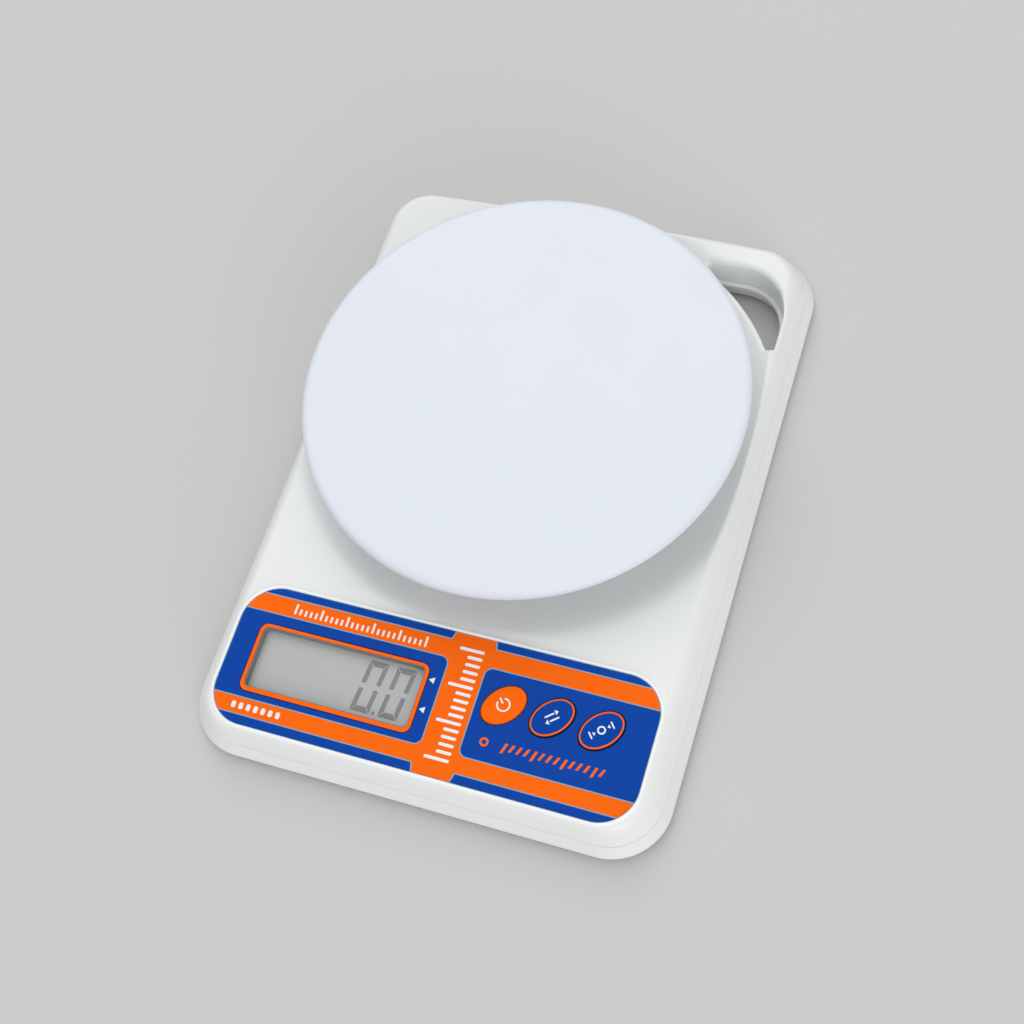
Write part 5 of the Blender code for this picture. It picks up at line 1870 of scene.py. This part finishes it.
@dataclass
class Display:
    """Liquid-crystal display behind a clear window, reading zero."""

    workshop: Workshop
    console: Console
    centre: Point = (-34.45 * MM, -0.6 * MM)
    window_size: Point = (59.1 * MM, 21.6 * MM)
    window_radius: float = 2.0 * MM
    glass_height: float = 26.0 * MM
    glass_top: float = -3.6 * MM
    glass_bottom: float = -6.2 * MM
    lens_inset: float = 0.4 * MM
    digit_height: float = 18.0 * MM
    digit_width: float = 6.9 * MM
    bar: float = 1.6 * MM
    cap_bar: float = 2.0 * MM
    bar_gap: float = 0.16 * MM
    waist_gap: float = 1.0 * MM
    waist_taper: float = 0.25 * MM
    slant: float = 0.085
    ink: float = 0.03 * MM
    digits: Sequence[Point] = ((-22.65 * MM, -0.2 * MM), (-12.75 * MM, -0.2 * MM))
    point_place: Point = (4.1 * MM, 0.7 * MM)
    point_radius: float = 0.62 * MM

    def window(self, grow: float = 0.0) -> list[Point]:
        """Outline of the display window, in console coordinates."""
        size = (self.window_size[0] + 2 * grow, self.window_size[1] + 2 * grow)
        return rounded_rectangle(size, self.window_radius + grow, self.centre, 8)

    def bars(self) -> list[list[Point]]:
        """Outlines of the six lit bars of an upright zero, mitred where they meet.

        Returns:
            The six outlines, counterclockwise.
        """
        w, h, t, deep = self.digit_width / 2, self.digit_height / 2, self.bar, self.cap_bar
        gap, waist = self.bar_gap, self.waist_gap
        cap = [(-w + gap, h), (-w + t + gap, h - deep), (w - t - gap, h - deep), (w - gap, h)]
        side = [(-w, waist), (-w + t / 2, waist - self.waist_taper), (-w + t, waist)]
        side += [(-w + t, h - deep - gap), (-w, h - gap)]
        shapes = []
        for sx, sy in ((1, 1), (1, -1)):
            shapes.append([(x * sx, y * sy) for x, y in cap][:: sx * sy])
        for sx, sy in ((1, 1), (-1, 1), (-1, -1), (1, -1)):
            shapes.append([(x * sx, y * sy) for x, y in side][:: sx * sy])
        return shapes

    def lit(self, outline: Sequence[Point]) -> bmesh.types.BMesh:
        """A thin dark solid in the face of the glass."""
        return prism(outline, self.glass_top - self.ink, self.glass_top + self.ink)

    def digit(self, centre: Point) -> list[bmesh.types.BMesh]:
        """The six lit bars of a zero, leaning to the right.

        Args:
            centre: Middle of the digit, in console coordinates.

        Returns:
            One thin solid for each bar.
        """
        bars = []
        for shape in self.bars():
            leaning = [(centre[0] + x + self.slant * y, centre[1] + y) for x, y in shape]
            bars.append(self.lit(leaning))
        return bars

    def build(self) -> None:
        """Build the glass, its digits, a dark liner that paints the shade on the window's inner wall, and the
        clear window.
        """
        low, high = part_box("display_glass")
        size = (high.x - low.x, self.glass_height)
        outline = rounded_rectangle(size, 0.5 * MM, self.centre, 4)
        parts = [(to_mesh(prism(outline, self.glass_bottom, self.glass_top, 0.15 * MM), "glass"), 0)]
        for centre in self.digits:
            parts += [(to_mesh(bar, "bar"), 1) for bar in self.digit(centre)]
        (x, y), (right, up) = self.digits[0], self.point_place
        dot = circle(self.point_radius, 20, (x + right, y - self.digit_height / 2 + up))
        parts.append((to_mesh(self.lit(dot), "point"), 1))
        glass = to_mesh(combined(parts), "display")
        finishes = ["display_grey", "display_ink"]
        matrix = self.console.matrix
        self.workshop.place("display", glass, finishes, Body.HOUSING, ["display_glass"], matrix)

        # Painted shade: a dark grey liner over the window's inner wall stands for the shade in the recess.
        surround = to_mesh(prism(self.window(-0.06 * MM), -3.28 * MM, -0.26 * MM), "surround")
        surround = carved(surround, [(Cut.REMOVE, prism(self.window(-0.3 * MM), -5 * MM, 2 * MM))])
        finishes = ["window_mask"]
        piece = self.workshop.place("window_surround", surround, finishes, Body.HOUSING, (), matrix)
        lens = (size[0] - self.lens_inset, size[1] - self.lens_inset)
        pane = prism(rounded_rectangle(lens, 1 * MM, self.centre, 6), -3.3 * MM, -2.5 * MM, 0.2 * MM)
        pane = to_mesh(pane, "pane")
        finishes, nodes = ["window_clear"], ["display_window"]
        self.workshop.place("window_pane", pane, finishes, Body.HOUSING, nodes, matrix)


# ------------------------------------------------------------------ studio


@dataclass
class Studio:
    """Plain floor, soft lights and the camera."""

    target: Vector = field(default_factory=lambda: Vector((4.52, -11.53, 15.18)) * MM)
    azimuth: float = math.radians(36.64)
    elevation: float = math.radians(62.82)
    roll: float = math.radians(-20.9)
    distance: float = 529.5 * MM
    lens: float = 54.44
    floor_size: float = 90.0
    floor_colour: Colour = (0.62, 0.61, 0.60)
    air_colour: Colour = (0.97, 0.98, 1.0)
    air_strength: float = 0.58
    lights: Sequence[tuple[str, tuple[float, float, float], float, float]] = (
        ("key_light", (-0.9, 1.9, 2.4), 2.4, 30.0),
        ("top_light", (0.25, -0.3, 3.0), 2.5, 14.0),
        ("front_fill", (1.9, -2.5, 1.15), 2.2, 38.0),
    )

    def axes(self) -> tuple[Vector, Vector, Vector]:
        """Right, up and backward directions of the camera.

        Returns:
            The three directions.
        """
        flat = math.cos(self.elevation)
        back = Vector(
            (math.sin(self.azimuth) * flat, -math.cos(self.azimuth) * flat, math.sin(self.elevation))
        )
        right = Vector((0, 0, 1)).cross(back).normalized()
        up = back.cross(right)
        turned_right = right * math.cos(self.roll) + up * math.sin(self.roll)
        turned_up = up * math.cos(self.roll) - right * math.sin(self.roll)
        return turned_right, turned_up, back

    def camera(self) -> None:
        """Set up the camera."""
        right, up, back = self.axes()
        camera = bpy.data.objects.new("camera", bpy.data.cameras.new("camera"))
        camera.data.lens = self.lens
        camera.data.sensor_width = 36.0
        camera.data.clip_start = 0.01
        bpy.context.scene.collection.objects.link(camera)
        turn = Matrix((right, up, back)).transposed().to_4x4()
        camera.matrix_world = Matrix.Translation(self.target + back * self.distance) @ turn
        bpy.context.scene.camera = camera

    def light(self, name: str, place: Vector, size: float, power: float) -> None:
        """A square soft light that faces the scale.

        Args:
            name: Name of the light.
            place: Where it stands.
            size: Side of the square.
            power: Power in watts.
        """
        lamp = bpy.data.lights.new(name, "AREA")
        lamp.size = size
        lamp.energy = power
        obj = bpy.data.objects.new(name, lamp)
        bpy.context.scene.collection.objects.link(obj)
        obj.location = place
        obj.rotation_euler = (self.target - place).to_track_quat("-Z", "Y").to_euler()

    def floor(self) -> None:
        """A plain pale floor with a soft sheen."""
        mat = bpy.data.materials.new("floor_pale")
        mat.use_nodes = True
        shader = mat.node_tree.nodes["Principled BSDF"]
        shader.inputs["Base Color"].default_value = (*self.floor_colour, 1.0)
        shader.inputs["Roughness"].default_value = 0.7
        shader.inputs["Specular IOR Level"].default_value = 0.2
        outline = rounded_rectangle((self.floor_size, self.floor_size), 2.0)
        mesh = to_mesh(prism(outline, -0.02, 0.0), "floor")
        mesh.materials.append(mat)
        obj = bpy.data.objects.new("floor", mesh)
        bpy.context.scene.collection.objects.link(obj)

    def build(self) -> None:
        """Set up the whole studio."""
        self.camera()
        self.floor()
        for name, place, size, power in self.lights:
            self.light(name, Vector(place), size, power)
        world = bpy.data.worlds.new("studio_air")
        world.use_nodes = True
        background = world.node_tree.nodes["Background"]
        background.inputs["Color"].default_value = (*self.air_colour, 1.0)
        background.inputs["Strength"].default_value = self.air_strength
        bpy.context.scene.world = world
        bpy.context.scene.view_settings.view_transform = "Standard"


def main() -> None:
    """Build every piece in order and report each one."""
    logging.basicConfig(level=logging.INFO, format="%(name)s: %(message)s")
    workshop = Workshop()
    workshop.mix_finishes()
    Studio().build()
    outline = CaseOutline.read()
    console = Console.read()
    display = Display(workshop, console)
    keys = KeyRow(workshop, console)
    wells = [keys.oval(key, keys.well_gap) for key in Legend]
    Cover(workshop, outline, console).build(display.window(), wells)
    Base(workshop, outline).build()
    BatteryDoor(workshop).build()
    Pan(workshop).build()
    PanPosts(workshop).build()
    LoadCell(workshop).build()
    Label(workshop, console, display.window(), keys).build()
    display.build()
    keys.build()
    workshop.dress_carried()


if __name__ == "__main__":
    main()
